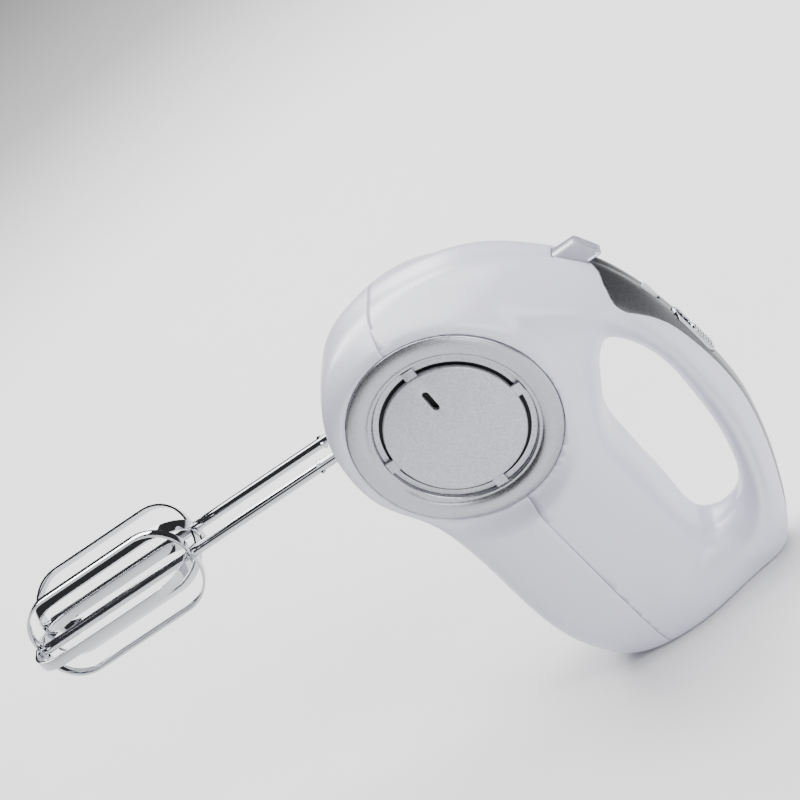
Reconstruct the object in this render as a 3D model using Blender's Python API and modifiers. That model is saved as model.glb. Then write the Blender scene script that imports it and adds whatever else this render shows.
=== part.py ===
"""Hand mixer standing on its heel, as an assembly of separate pieces.

The mixer's side view is the XZ plane. The nose is up (+Z), the handle is towards +X,
the beaters point towards -X, and the object is symmetric about the plane y = 0.
Heights below are from the motor's datum plane. The finished mixer is raised so that the
underside of its heel pad, at STAND_Z, comes to z = 0.
"""

import math

import bmesh
import bpy
import numpy as np
from mathutils import Matrix, Vector

MM = 0.001
GAP = 0.3 * MM  # clearance between pieces that touch on the real mixer
PAST = 5.0 * MM  # how far a cutter runs on past a wall that it goes through

# Shell
WALL = 2.2 * MM
STAND_Z = -3.5 * MM  # the surface that the mixer stands on
HEEL_RISE = 0.8 * MM  # height of the housing's heel over that surface
SEAM_FOOT_X = -11.2 * MM  # where the seam between the two housings meets z = 0
SEAM_LEAN = 0.0887  # how far the seam leans towards -X for each unit of height
SKIN_LEVELS = 1

# Cross-sections of the body, one after the other round the handle opening. Each runs from the
# outer outline (x, z) to the edge of the handle opening (x, z), in millimetres, followed by
# half-width and corner radius at the outer end, half-width at the middle, and half-width and
# corner radius at the opening's end.
SECTIONS = (
    (48.5, 146, 41, 113.5, 20, 12, 24, 18, 9),
    (56.8, 133.5, 46, 107.5, 16.5, 10, 17.5, 15, 8),
    (62.3, 119.7, 50, 99, 14.5, 9, 15.5, 14, 8),
    (66.3, 103, 52.6, 88, 14, 8.5, 15, 13.5, 8),
    (68.8, 84, 53.3, 75, 14, 8.5, 15, 13.5, 8),
    (69.8, 66, 53.3, 60, 14, 8.5, 15, 14, 8),
    (67.8, 49, 51.8, 47, 14, 8.5, 15, 14.5, 8),
    (63.6, 32, 48.8, 35.5, 14.5, 9, 15.5, 15, 8),
    (58, 16.5, 44, 27, 14.5, 9, 16.5, 16, 8),
    (52, 5, 38.2, 22.8, 14.5, 8, 17.5, 17.5, 8),
    (43.5, -3.5, 32.5, 21.2, 13.5, 6, 19, 19, 8),
    (29, -4, 27.5, 21.4, 18, 6, 22, 21, 8),
    (4, -4, 23.3, 24.6, 26, 6, 27, 22, 8),
    (-23.5, -3.5, 21.8, 32.5, 27, 10, 29.5, 23, 9),
    (-36, 5.5, 21.1, 42, 28.5, 12, 30, 25, 9),
    (-42.5, 19, 20.6, 51, 29.5, 10, 31.5, 26, 10),
    (-48, 38, 20, 58.5, 30, 10, 32, 27, 11),
    (-51, 62, 19.3, 67, 30, 10, 32.5, 28, 11),
    (-54, 84, 18.6, 75, 30, 9, 33, 29, 11),
    (-59, 100, 19.2, 81, 30, 8, 33, 30, 12),
    (-67.5, 115, 20.5, 85.5, 30, 8, 33.5, 30.5, 13),
    (-70, 133.5, 22, 89.5, 30, 8, 34, 31, 14),
    (-66.5, 152, 24, 93, 31, 9, 34.5, 31, 14.5),
    (-55, 168.5, 26.5, 97.5, 31, 12, 35, 31, 15),
    (-34, 176.8, 29, 102, 31, 14, 35.5, 30.5, 16),
    (-9, 176.8, 31.5, 106.5, 31, 15, 35, 29, 16),
    (15, 170.8, 34.5, 110.5, 29, 15, 32, 26, 14),
    (33, 160, 37.5, 113, 25, 14, 28, 22, 11),
)
CORNER_DROP = 0.06  # fall of the flat part at each end of a section, in corner radii
CORNER_SHARE = 0.28  # most of a section's length that one of its corners takes up

MOTOR_X = -7.0 * MM  # the motor's and the worm's axis

# Side rings and discs. The seat is the flat that the ring sits in, on each side.
SEAT_CENTRE = Vector((-22.8, 31.5, 126.7)) * MM
SEAT_NORMAL = Vector((-0.079, 0.991, -0.106)).normalized()
RING_RADIUS = 41.6 * MM
RING_LIP_RADIUS = 31.8 * MM
DISC_RADIUS = 27.7 * MM
RING_CREST = 1.7 * MM
RING_DEPTH = 4.0 * MM
DISC_RISE = 0.6 * MM
DISC_THICKNESS = 2.2 * MM
TAB_WIDTH = 5.0 * MM
TAB_THICKNESS = 0.6 * DISC_THICKNESS
SLOT_LENGTH = 9.5 * MM
SLOT_WIDTH = 2.9 * MM
SLOT_OFFSET = 15.7 * MM
SEAT_BLEND = 8.0 * MM  # width over which the flat seat runs out into the body
SEAT_CLEARANCE = 1.5 * GAP  # round the ring, whose outline has the same corners
SEAT_REACH = 9.0 * MM

# Handle panel: (x, z) along the handle's back and half-width, in millimetres
PANEL_BAND = (
    (51.3, 141.5, 3),
    (53.6, 138.5, 8),
    (55.4, 135.5, 13.2),
    (57.6, 131.5, 17),
    (59.7, 126.5, 17.4),
    (62.0, 120, 15.4),
    (64.1, 113, 12.6),
    (66.2, 103, 9.6),
    (68.8, 84, 6.6),
    (69.8, 66, 5.8),
    (67.8, 49, 5.8),
    (63.6, 32, 6.2),
    (58, 16.5, 6.0),
    (54, 8.5, 4.5),
    (51.2, 4, 2.2),
)
BAND_DEPTH = 7.0 * MM
BAND_PROUD = 4.0 * MM

# Speed slider and turbo button, on the handle's back
SLIDER_CENTRE = Vector((67.55, 0, 94)) * MM
SLIDER_OUT = Vector((0.991, 0, 0.13)).normalized()
BEZEL_LENGTH = 24.0 * MM
BEZEL_WIDTH = 8.0 * MM
BEZEL_RIM = 1.1 * MM
BEZEL_PROUD = 0.9 * MM
BEZEL_DEPTH = 3.4 * MM
GRIP_LENGTH = 13.0 * MM
GRIP_PROUD = 1.6 * MM
GRIP_GROOVES = 7
GROOVE_PITCH = 1.5 * MM
GROOVE_SIZE = Vector((0.6, 10.0, 1.0)) * MM
BUTTON_DEPTH = 5.0 * MM  # from the top to the foot of the grip and of the turbo button
SPEED_SWITCH_SIZE = Vector((4.8, 9.2, 25.0)) * MM
SPEED_SWITCH_DEPTH = 10.0 * MM  # from the handle's surface to the switch's middle
TURBO_CENTRE = Vector((63.1, 0, 117.4)) * MM
TURBO_OUT = Vector((0.972, 0, 0.233)).normalized()
TURBO_LENGTH = 8.0 * MM
TURBO_WIDTH = 5.0 * MM
TURBO_PROUD = 0.9 * MM
TURBO_SWITCH_SIZE = Vector((4.0, 6.0, 7.0)) * MM
TURBO_SWITCH_DEPTH = 9.2 * MM
SWITCH_EDGE = 0.5 * MM

# Eject button and ejector
EJECT_Z = 147.2 * MM
EJECT_HEIGHT = 10.0 * MM
EJECT_WIDTH = 9.0 * MM
EJECT_TOP_LOW = 58.3 * MM  # x of the top's edge nearest the handle
EJECT_TOP_HIGH = 52.3 * MM  # x of the top's edge nearest the nose
EJECT_FLANGE_X = 30.0 * MM
EJECT_FLANGE = 1.8 * MM
EJECT_FLANGE_RIM = Vector((0, 2.0, 1.5)) * MM  # how far the flange stands out past the button
EJECT_EDGE = 0.8 * MM
STEM_SIZE = 4.0 * MM
STEM_DROP = 0.2 * MM  # of the stem's top below the plate's top edge
EJECTOR_PLATE_X = MOTOR_X + 14.0 * MM
EJECTOR_PLATE = 1.6 * MM
PLATE_MARGIN = 1.2 * MM  # of the plate, round the beaters' ends
SPRING_RADIUS = 1.15 * STEM_SIZE
SPRING_END = 1.0 * MM  # from the spring's ends to what it presses on
SPRING_WIRE = 0.45 * MM
SPRING_TURNS = 6

# Beaters and spindles, along X
BEATER_Z = 136.5 * MM
BEATER_SPACING = 22.0 * MM
BEATER_TIP_X = -221.5 * MM
CAGE_LENGTH = 78.0 * MM
CAGE_HALF_WIDTH = 19.3 * MM
STRIP_WIDTH = 4.5 * MM
STRIP_THICKNESS = 1.0 * MM
TIP_CORNER = 15.0 * MM
TOP_CORNER = 17.0 * MM
LOOP_STEP = 0.4 * MM  # clearance between the two loops where they cross
SHAFT_RADIUS = 2.2 * MM
CORE_RADIUS = 0.7 * SHAFT_RADIUS  # of the shaft's thin end, riveted in the loops
CORE_LENGTH = 2 * (STRIP_THICKNESS + LOOP_STEP) + 1.0 * MM
SHAFT_EDGE = 0.7 * MM
RIVET_RIM = 0.8 * MM
SHAFT_END_X = MOTOR_X + 5.0 * MM
SHAFT_BORE_RADIUS = 1.4 * MM
LUG_X = -80.0 * MM
LUG_LENGTH = 3.2 * MM
LUG_PROUD = 1.1 * MM
LUG_THICKNESS = 1.2 * MM
SPINDLE_RADIUS = 3.7 * MM
SPINDLE_MOUTH_X = -67.0 * MM
SPINDLE_END_X = MOTOR_X + 6.2 * MM
BUSH_WALL = 1.7 * MM
BUSH_FLANGE = 1.6 * MM
BUSH_RIM = 1.5 * MM

# Worm and gears
GEAR_TEETH = 16
GEAR_MODULE = 0.85 * MM
GEAR_WIDTH = 6.0 * MM
TOOTH_HALF_SHARE = 0.17  # half of a tooth's thickness midway up, in pitches
TOOTH_SLOPE = 0.06  # how much that grows at the root and shrinks at the tip
ROOT_DEPTH = 1.15  # from the pitch circle down to the root, in modules
TIP_HEIGHT = 0.95  # from the pitch circle up to the tip, in modules
WORM_ROOT_RADIUS = 3.0 * MM
WORM_LENGTH = 19.0 * MM
WORM_END = 1.0 * MM  # plain part at each end of the worm
WORM_STEPS_PER_TURN = 10
THREAD_HALF = 0.75 * MM

# Motor, from the heel up
SHAFT_BOTTOM_Z = 29.5 * MM
SHAFT_TOP_Z = 157.0 * MM
MOTOR_SHAFT_RADIUS = 2.5 * MM
BRACKET_Z = 33.0 * MM
BRACKET_THICKNESS = 3.0 * MM
BRACKET_HALF = 21.0 * MM
BRACKET_CORNER = 4.0 * MM
BEARING_RADIUS = 5.5 * MM
BEARING_LENGTH = 6.0 * MM
COMMUTATOR_Z = 42.0 * MM
COMMUTATOR_LENGTH = 12.0 * MM
COMMUTATOR_RADIUS = 8.5 * MM
STATOR_Z = 60.0 * MM
STATOR_LENGTH = 25.0 * MM
STATOR_HALF_X = 21.5 * MM
STATOR_HALF_Y = 22.0 * MM
STATOR_CORNER = 5.0 * MM
MOTOR_SCREW_X = 15.0 * MM
MOTOR_SCREW_Y = 19.2 * MM
BORE_RADIUS = 15.6 * MM
COIL_Y = 13.0 * MM
COIL_THICKNESS = 6.0 * MM
COIL_INNER_X = 14.0 * MM
COIL_OUTER_X = 18.5 * MM
COIL_END = 5.0 * MM  # how far a coil stands out past each face of the stator
BRUSH_SIZE = Vector((5.0, 8.0, 6.0)) * MM
BRUSH_HOLDER_SIZE = Vector((8.0, 14.0, 9.0)) * MM
AIR_GAP = 0.6 * MM
CORE_SLOTS = 12
CORE_SLOT_FLOOR = 0.62  # radius of a slot's floor, in core radii
CORE_SLOT_SHARES = (0.0, 0.72, 0.76, 0.96)  # where a tooth and a slot start and end, in slots
WINDING_HEIGHT = 5.5 * MM
FAN_Z = 98.0 * MM
FAN_RADIUS = 20.0 * MM
FAN_HEIGHT = 9.0 * MM
FAN_BLADES = 9
FAN_THICKNESS = 1.2 * MM
BLADE_SWEEP = math.radians(35)

# Gearbox frame, a rectangular tube open along Y
FRAME_X = (-50.0 * MM, MOTOR_X + 25.0 * MM)
FRAME_Z = (119.0 * MM, 157.0 * MM)
FRAME_WALL = 3.0 * MM
FRAME_HALF_Y = 21.5 * MM

# Screws that join the two housings, in millimetres: y and z of the axis, y and z of the wall that
# the upper boss's web reaches, and x of the lower boss's end in the lower housing's wall
HOUSING_SCREWS = (
    (20, 27.4, 29, 27.4, -40.5),
    (-20, 27.4, -29, 27.4, -40.5),
    (0, 163, 0, 178, -56.5),
)
SCREW_RADIUS = 1.5 * MM
SCREW_HEAD_RADIUS = 2.8 * MM
SCREW_HEAD = 2.0 * MM
SCREW_REACH = 10.0 * MM  # from the seam into the upper housing
SCREW_GRIP = 12.0 * MM  # from the head to the seam
WEB = 2.0 * MM
BOSS_RADIUS = 4.2 * MM
BOSS_END = 2.0 * MM  # solid end of an upper boss, past its screw
OUT_OF_NOSE = 60.0 * MM  # length of a screw hole's cutter, to run out past the nose

# Heel
PAD_X = (-24.0 * MM, 33.0 * MM)
PAD_THICKNESS = 1.8 * MM
PAD_HALF_WIDTHS = (19.0 * MM, 9.5 * MM)
PAD_CORNER = 4.0 * MM
GLAND_CENTRE = Vector((-38.5, 0, 18.0)) * MM
GLAND_OUT = Vector((-0.878, 0, -0.479)).normalized()
GLAND_RADIUS = 5.0 * MM
CORD_RADIUS = 3.0 * MM
GLAND_DEPTH = 5.0 * MM
GLAND_PROUD = 1.0 * MM


# Suppressor board over the heel
BOARD_SIZE = Vector((40.0, 34.0, 1.6)) * MM
BOARD_CENTRE = Vector((-10.0, 0, 12.8)) * MM
CAPACITOR_SIZE = Vector((12.0, 8.0, 9.0)) * MM
CAPACITOR_EDGE = 1.0 * MM
CAPACITOR_PLACE = Vector((-8.0, 8.0, 0)) * MM
CHOKE_RADIUS = 3.5 * MM
CHOKE_LENGTH = 8.0 * MM
CHOKE_PLACE = Vector((13.0, 8.0, 0)) * MM

SIDES = {"left": 1, "right": -1}

for old in list(bpy.data.objects):
    bpy.data.objects.remove(old, do_unlink=True)


def collection(name):
    made = bpy.data.collections.new(name)
    bpy.context.scene.collection.children.link(made)
    return made


PARTS = collection("hand_mixer")
CUTTERS = collection("cutters")


def material(name, color, roughness, metallic=0.0, transmission=0.0):
    made = bpy.data.materials.new(name)
    made.use_nodes = True
    shader = made.node_tree.nodes["Principled BSDF"]
    shader.inputs["Base Color"].default_value = (*color, 1)
    shader.inputs["Roughness"].default_value = roughness
    shader.inputs["Metallic"].default_value = metallic
    shader.inputs["Transmission Weight"].default_value = transmission
    return made


WHITE = material("white_plastic", (0.80, 0.80, 0.88), 0.35)
SATIN_SILVER = material("satin_silver", (0.66, 0.67, 0.70), 0.3, 0.6)
DISC_SILVER = material("disc_silver", (0.62, 0.63, 0.67), 0.45, 0.4)
GUNMETAL = material("gunmetal", (0.25, 0.26, 0.27), 0.35, 0.6)
CLEAR = material("clear_plastic", (0.85, 0.86, 0.92), 0.15, 0.0, 0.6)
CHROME = material("chrome", (0.75, 0.75, 0.77), 0.08, 1.0)
STEEL = material("steel", (0.55, 0.55, 0.57), 0.3, 1.0)
COPPER = material("copper", (0.72, 0.35, 0.16), 0.35, 1.0)
BRASS = material("brass", (0.75, 0.58, 0.30), 0.3, 1.0)
NYLON = material("nylon", (0.86, 0.85, 0.78), 0.5)
DARK_PLASTIC = material("dark_plastic", (0.05, 0.05, 0.06), 0.5)
RUBBER = material("rubber", (0.04, 0.04, 0.04), 0.8)
CARBON = material("carbon", (0.08, 0.08, 0.08), 0.7)
GREY_PLASTIC = material("grey_plastic", (0.55, 0.56, 0.60), 0.4)
BOARD = material("circuit_board", (0.10, 0.30, 0.16), 0.5)


# ---- building blocks ----


def add_object(name, mesh, finish=None, group=PARTS):
    made = bpy.data.objects.new(name, mesh)
    group.objects.link(made)
    if group is CUTTERS:
        made.hide_render = True
        made.display_type = "WIRE"
    if finish:
        mesh.materials.append(finish)
    return made


def mesh_from(bm, name, sharp_degrees=35):
    mesh = bpy.data.meshes.new(name)
    bmesh.ops.recalc_face_normals(bm, faces=bm.faces)
    bm.to_mesh(mesh)
    bm.free()
    mesh.shade_smooth()
    mesh.set_sharp_from_angle(angle=math.radians(sharp_degrees))
    return mesh


def facing(direction, side=Vector((0, 1, 0))):
    """Rotation that takes Z to direction and X as close to side as it can."""
    along = Vector(direction).normalized()
    across = (Vector(side) - along * along.dot(Vector(side))).normalized()
    return Matrix((across, along.cross(across), along)).transposed()


UPRIGHT = Matrix.Identity(3)


def placed(bm, centre, turn=UPRIGHT):
    bmesh.ops.transform(bm, matrix=Matrix.Translation(centre) @ turn.to_4x4(), verts=bm.verts)
    return bm


def box(size, centre, turn=UPRIGHT):
    bm = bmesh.new()
    bmesh.ops.create_cube(bm, size=1, matrix=Matrix.Diagonal((*size, 1)))
    return placed(bm, centre, turn)


def block(low, high):
    low, high = Vector(low), Vector(high)
    return box(high - low, (low + high) / 2)


def cylinder(radius, start, end, segments=24):
    start, end = Vector(start), Vector(end)
    bm = bmesh.new()
    bmesh.ops.create_cone(
        bm, cap_ends=True, segments=segments, radius1=radius, radius2=radius, depth=(end - start).length
    )
    return placed(bm, (start + end) / 2, facing(end - start))


def joined(*pieces):
    """One bmesh that holds several separate bodies."""
    whole = bmesh.new()
    for piece in pieces:
        mesh = bpy.data.meshes.new("piece")
        piece.to_mesh(mesh)
        piece.free()
        whole.from_mesh(mesh)
        bpy.data.meshes.remove(mesh)
    return whole


def prism(outline, half_height, centre=(0, 0, 0), turn=UPRIGHT):
    """A flat outline of (x, y) points, extruded both ways along Z."""
    bm = bmesh.new()
    base = bm.faces.new([bm.verts.new((x, y, -half_height)) for x, y in outline])
    extruded = bmesh.ops.extrude_face_region(bm, geom=[base])
    raised = [v for v in extruded["geom"] if isinstance(v, bmesh.types.BMVert)]
    bmesh.ops.translate(bm, vec=(0, 0, 2 * half_height), verts=raised)
    return placed(bm, centre, turn)


def arc(centre, radius, start, end, count):
    """Points on an arc, from start to end in degrees."""
    angles = [math.radians(start + (end - start) * i / (count - 1)) for i in range(count)]
    return [(centre[0] + radius * math.cos(a), centre[1] + radius * math.sin(a)) for a in angles]


def lozenge(length, width, count=7):
    """A slot outline with round ends, its length along X."""
    reach = (length - width) / 2
    return arc((reach, 0), width / 2, -90, 90, count) + arc((-reach, 0), width / 2, 90, 270, count)


def rounded_box(size, radius, centre, turn=UPRIGHT):
    bm = box(size, (0, 0, 0))
    bmesh.ops.bevel(bm, geom=bm.edges[:], offset=radius, segments=1, profile=0.5, affect="EDGES")
    return placed(bm, centre, turn)


def turned(name, profile, centre, axis, finish, steps=32, closed=True):
    """A body of revolution from (radius, height) points.

    The profile is a closed outline, or an open one whose two ends lie on the axis."""
    bm = bmesh.new()
    corners = [bm.verts.new((radius, 0, height)) for radius, height in profile]
    for corner, following in zip(corners, corners[1:] + corners[:1] * closed):
        bm.edges.new((corner, following))
    mesh = bpy.data.meshes.new(name)
    bm.to_mesh(mesh)
    bm.free()
    made = add_object(name, mesh, finish)
    screw = made.modifiers.new("turn", "SCREW")
    screw.steps = steps
    screw.render_steps = steps
    screw.use_merge_vertices = True
    screw.merge_threshold = 0.00001
    made.matrix_world = Matrix.Translation(centre) @ facing(axis).to_4x4()
    return made


def sleeve(name, inner, outer, start, end, finish, steps=24):
    """A plain tube between two points."""
    start, end = Vector(start), Vector(end)
    length = (end - start).length
    profile = ((outer, length), (outer, 0), (inner, 0), (inner, length))
    return turned(name, profile, start, end - start, finish, steps)


def boolean(target, operation, bm, name):
    """A Boolean modifier on target with a cutter made from a bmesh."""
    tool = add_object(f"{name}_cutter", mesh_from(bm, f"{name}_cutter"), group=CUTTERS)
    modifier = target.modifiers.new(name, "BOOLEAN")
    modifier.operation = operation
    modifier.object = tool
    return modifier


def evaluated_mesh(obj):
    bpy.context.view_layer.update()
    graph = bpy.context.evaluated_depsgraph_get()
    return bpy.data.meshes.new_from_object(obj.evaluated_get(graph))


def coil(name, radius, wire, start, end, turns, finish, points_per_turn=10):
    """A compression spring between two points."""
    start, end = Vector(start), Vector(end)
    count = round(turns * points_per_turn) + 1
    curve = bpy.data.curves.new(name, "CURVE")
    curve.dimensions = "3D"
    curve.bevel_depth = wire
    curve.bevel_resolution = 0
    curve.use_fill_caps = True
    spline = curve.splines.new("POLY")
    spline.points.add(count - 1)
    length = (end - start).length
    for i, point in enumerate(spline.points):
        angle = 2 * math.pi * i / points_per_turn
        point.co = (radius * math.cos(angle), radius * math.sin(angle), length * i / (count - 1), 1)
    curve.materials.append(finish)
    made = bpy.data.objects.new(name, curve)
    PARTS.objects.link(made)
    made.matrix_world = Matrix.Translation(start) @ facing(end - start).to_4x4()
    return made


def set_origin(obj, point):
    """Moves an object's origin to a point of its joint's axis, leaving its shape in place."""
    offset = Vector(point) - obj.matrix_world.translation
    obj.data.transform(Matrix.Translation(-offset))
    obj.matrix_world.translation = Vector(point)


# ---- body skin ----


def section_points(section):
    """A closed cross-section: out along +Y from the outer outline, back along -Y."""
    outer = np.array(section[0:2])
    inner = np.array(section[2:4])
    outer_width, outer_corner, middle_width, inner_width, inner_corner = section[4:]
    length = np.linalg.norm(inner - outer)
    outer_depth = min(outer_corner, CORNER_SHARE * length)
    inner_depth = min(inner_corner, CORNER_SHARE * length)
    rows = (
        (0, 0),
        (CORNER_DROP * outer_corner, outer_width - outer_corner),
        (outer_depth, outer_width),
        ((length + outer_depth - inner_depth) / 2, middle_width),
        (length - inner_depth, inner_width),
        (length - CORNER_DROP * inner_corner, inner_width - inner_corner),
        (length, 0),
    )
    mirrored = [(depth, -width) for depth, width in rows[-2:0:-1]]
    places = [(outer + (inner - outer) * depth / length, width) for depth, width in (*rows, *mirrored)]
    return [(place[0] * MM, width * MM, place[1] * MM) for place, width in places]


def control_points(points, axis):
    """Control points of the smooth closed curves that pass through the given points."""
    identity = np.eye(points.shape[axis])
    weights = (4 * identity + np.roll(identity, 1, axis=0) + np.roll(identity, -1, axis=0)) / 6
    solved = np.tensordot(np.linalg.inv(weights), points, axes=(1, axis))
    return np.moveaxis(solved, 0, axis)


def body_cage():
    points = np.array([section_points(section) for section in SECTIONS])
    points = control_points(control_points(points, 0), 1)
    rings, rows = points.shape[:2]
    bm = bmesh.new()
    verts = [[bm.verts.new(point) for point in ring] for ring in points]
    for i in range(rings):
        following = verts[(i + 1) % rings]
        for j in range(rows):
            after = (j + 1) % rows
            bm.faces.new((verts[i][j], verts[i][after], following[after], following[j]))
    return mesh_from(bm, "body_cage", 180)


def smooth_step(value):
    value = min(max(value, 0.0), 1.0)
    return value * value * (3 - 2 * value)


def press_seats(bm):
    """Flattens the body's sides where the rings sit, and its heel."""
    for vert in bm.verts:
        side = 1 if vert.co.y > 0 else -1
        centre = Vector((SEAT_CENTRE.x, side * SEAT_CENTRE.y, SEAT_CENTRE.z))
        normal = Vector((SEAT_NORMAL.x, side * SEAT_NORMAL.y, SEAT_NORMAL.z))
        offset = vert.co - centre
        height = offset.dot(normal)
        distance = (offset - normal * height).length
        if abs(vert.co.y) > SEAT_CENTRE.y / 2:
            share = 1 - smooth_step((distance - RING_RADIUS - GAP) / SEAT_BLEND)
            vert.co.y -= share * height / normal.y
        vert.co.z = max(vert.co.z, STAND_Z + HEEL_RISE)


def body_skin():
    """The body's outer surface, with nothing cut from it."""
    cage = add_object("body_cage", body_cage(), group=CUTTERS)
    subdivision = cage.modifiers.new("smooth", "SUBSURF")
    subdivision.levels = SKIN_LEVELS
    subdivision.render_levels = SKIN_LEVELS
    bm = bmesh.new()
    bm.from_mesh(evaluated_mesh(cage))
    bpy.data.objects.remove(cage)
    press_seats(bm)
    return bm


def seam_x(z):
    return SEAM_FOOT_X - SEAM_LEAN * z


def half_shell(name, skin, side):
    """One housing: the skin on one side of the seam, made a wall's thickness inwards.

    side is 1 for the handle's half and -1 for the beaters' half."""
    bm = skin.copy()
    normal = Vector((side, 0, side * SEAM_LEAN)).normalized()
    start = Vector((SEAM_FOOT_X, 0, 0)) + normal * GAP / 2
    everything = bm.verts[:] + bm.edges[:] + bm.faces[:]
    bmesh.ops.bisect_plane(
        bm, geom=everything, plane_co=start, plane_no=normal, clear_inner=True, dist=0.00001
    )
    shell = add_object(name, mesh_from(bm, name, 60), WHITE)
    wall = shell.modifiers.new("wall", "SOLIDIFY")
    wall.thickness = WALL
    wall.offset = -1
    wall.use_even_offset = True
    return shell


def side_vector(vector, side):
    return Vector((vector.x, side * vector.y, vector.z))


def cut_ring_seats(shell):
    for name, side in SIDES.items():
        centre = side_vector(SEAT_CENTRE, side)
        normal = side_vector(SEAT_NORMAL, side)
        reach = normal * SEAT_REACH
        cutter = cylinder(RING_RADIUS + SEAT_CLEARANCE, centre - reach, centre + reach, 40)
        boolean(shell, "DIFFERENCE", cutter, f"{shell.name}_{name}_seat")


# ---- housings ----


def add_bosses(shell, side):
    """Screw bosses on both sides of the seam, each with its screw's hole."""
    for number, (y, z, web_y, web_z, wall_x) in enumerate(HOUSING_SCREWS):
        y, z = y * MM, z * MM
        seam = seam_x(z)
        start = seam + side * (GAP / 2 + BOSS_RADIUS * SEAM_LEAN)
        end = wall_x * MM if side < 0 else seam + SCREW_REACH + BOSS_END
        body = cylinder(BOSS_RADIUS, (start, y, z), (end, y, z), 16)
        boolean(shell, "UNION", body, f"{shell.name}_boss_{number}")
        if side > 0:
            centre = Vector((start + end + BOSS_END, y + web_y * MM, z + web_z * MM)) / 2
            length = end - start - 1.5 * BOSS_END
            size = (length, max(abs(web_y * MM - y), WEB), max(abs(web_z * MM - z), WEB))
            boolean(shell, "UNION", box(size, centre), f"{shell.name}_web_{number}")
        hole = cylinder(
            SCREW_RADIUS + GAP, (seam - OUT_OF_NOSE, y, z), (seam + SCREW_REACH + GAP, y, z), 12
        )
        boolean(shell, "DIFFERENCE", hole, f"{shell.name}_screw_hole_{number}")
        if side < 0:
            head = seam - SCREW_GRIP
            recess = cylinder(SCREW_HEAD_RADIUS + GAP, (head, y, z), (head - OUT_OF_NOSE, y, z), 16)
            boolean(shell, "DIFFERENCE", recess, f"{shell.name}_screw_recess_{number}")


def build_lower_housing(skin):
    shell = half_shell("lower_housing", skin, -1)
    cut_ring_seats(shell)
    for name, side in SIDES.items():
        y = side * BEATER_SPACING / 2
        mouth = cylinder(
            SPINDLE_RADIUS + GAP,
            (SPINDLE_MOUTH_X - 2 * PAST, y, BEATER_Z),
            (SPINDLE_MOUTH_X + 3 * PAST, y, BEATER_Z),
        )
        boolean(shell, "DIFFERENCE", mouth, f"{name}_spindle_mouth")
    reach = GLAND_OUT * (GLAND_DEPTH + PAST)
    gland = cylinder(GLAND_RADIUS + GAP, GLAND_CENTRE - reach, GLAND_CENTRE + reach)
    boolean(shell, "DIFFERENCE", gland, "gland_hole")
    add_bosses(shell, -1)
    return shell


def band_cutter(margin):
    """The strip round the handle's back that the panel fills, wider by margin all round."""
    bm = bmesh.new()
    points = [Vector((x, 0, z)) * MM for x, z, _ in PANEL_BAND]
    rings = []
    for i, (_, _, width) in enumerate(PANEL_BAND):
        before = points[max(i - 1, 0)]
        after = points[min(i + 1, len(points) - 1)]
        along = (after - before).normalized()
        outward = Vector((-along.z, 0, along.x))
        end = margin * ((i == len(points) - 1) - (i == 0))
        centre = points[i] + along * end
        half = width * MM + margin
        corners = (
            centre - outward * BAND_DEPTH + Vector((0, half, 0)),
            centre - outward * BAND_DEPTH - Vector((0, half, 0)),
            centre + outward * BAND_PROUD - Vector((0, half, 0)),
            centre + outward * BAND_PROUD + Vector((0, half, 0)),
        )
        rings.append([bm.verts.new(corner) for corner in corners])
    for ring, following in zip(rings, rings[1:]):
        for j in range(4):
            bm.faces.new((ring[j], ring[(j + 1) % 4], following[(j + 1) % 4], following[j]))
    bm.faces.new(rings[0])
    bm.faces.new(rings[-1][::-1])
    return bm


def eject_opening():
    half = (EJECT_HEIGHT / 2 + GAP, EJECT_WIDTH / 2 + GAP)
    low = (EJECT_FLANGE_X + EJECT_FLANGE, -half[1], EJECT_Z - half[0])
    high = (EJECT_TOP_LOW + PAST, half[1], EJECT_Z + half[0])
    return block(low, high)


def build_upper_housing(skin):
    shell = half_shell("upper_housing", skin, 1)
    cut_ring_seats(shell)
    boolean(shell, "DIFFERENCE", band_cutter(GAP), "panel_opening")
    boolean(shell, "DIFFERENCE", eject_opening(), "eject_opening")
    add_bosses(shell, 1)
    return shell


def build_panel(skin):
    panel = half_shell("handle_panel", skin, 1)
    panel.data.materials.clear()
    panel.data.materials.append(GUNMETAL)
    boolean(panel, "INTERSECT", band_cutter(0), "panel_band")
    along = SLIDER_OUT.cross(Vector((0, 1, 0)))
    slot = prism(
        lozenge(BEZEL_LENGTH + 2 * GAP, BEZEL_WIDTH + 2 * GAP),
        BAND_DEPTH,
        SLIDER_CENTRE,
        facing(SLIDER_OUT, along),
    )
    boolean(panel, "DIFFERENCE", slot, "bezel_slot")
    along = TURBO_OUT.cross(Vector((0, 1, 0)))
    hole = prism(
        lozenge(TURBO_LENGTH + 2 * GAP, TURBO_WIDTH + 2 * GAP),
        BAND_DEPTH,
        TURBO_CENTRE,
        facing(TURBO_OUT, along),
    )
    boolean(panel, "DIFFERENCE", hole, "turbo_hole")
    return panel


def build_housing_screws():
    """Screws through the lower housing into the upper one."""
    length = SCREW_GRIP + SCREW_REACH
    profile = (
        (0, length),
        (SCREW_RADIUS, length),
        (SCREW_RADIUS, 0),
        (SCREW_HEAD_RADIUS, 0),
        (SCREW_HEAD_RADIUS, -SCREW_HEAD),
        (0, -SCREW_HEAD),
    )
    for number, (y, z, *_) in enumerate(HOUSING_SCREWS, 1):
        head = (seam_x(z * MM) - SCREW_GRIP - GAP, y * MM, z * MM)
        turned(f"housing_screw_{number}", profile, head, (1, 0, 0), STEEL, 14, closed=False)


# ---- rings and discs ----


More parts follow.
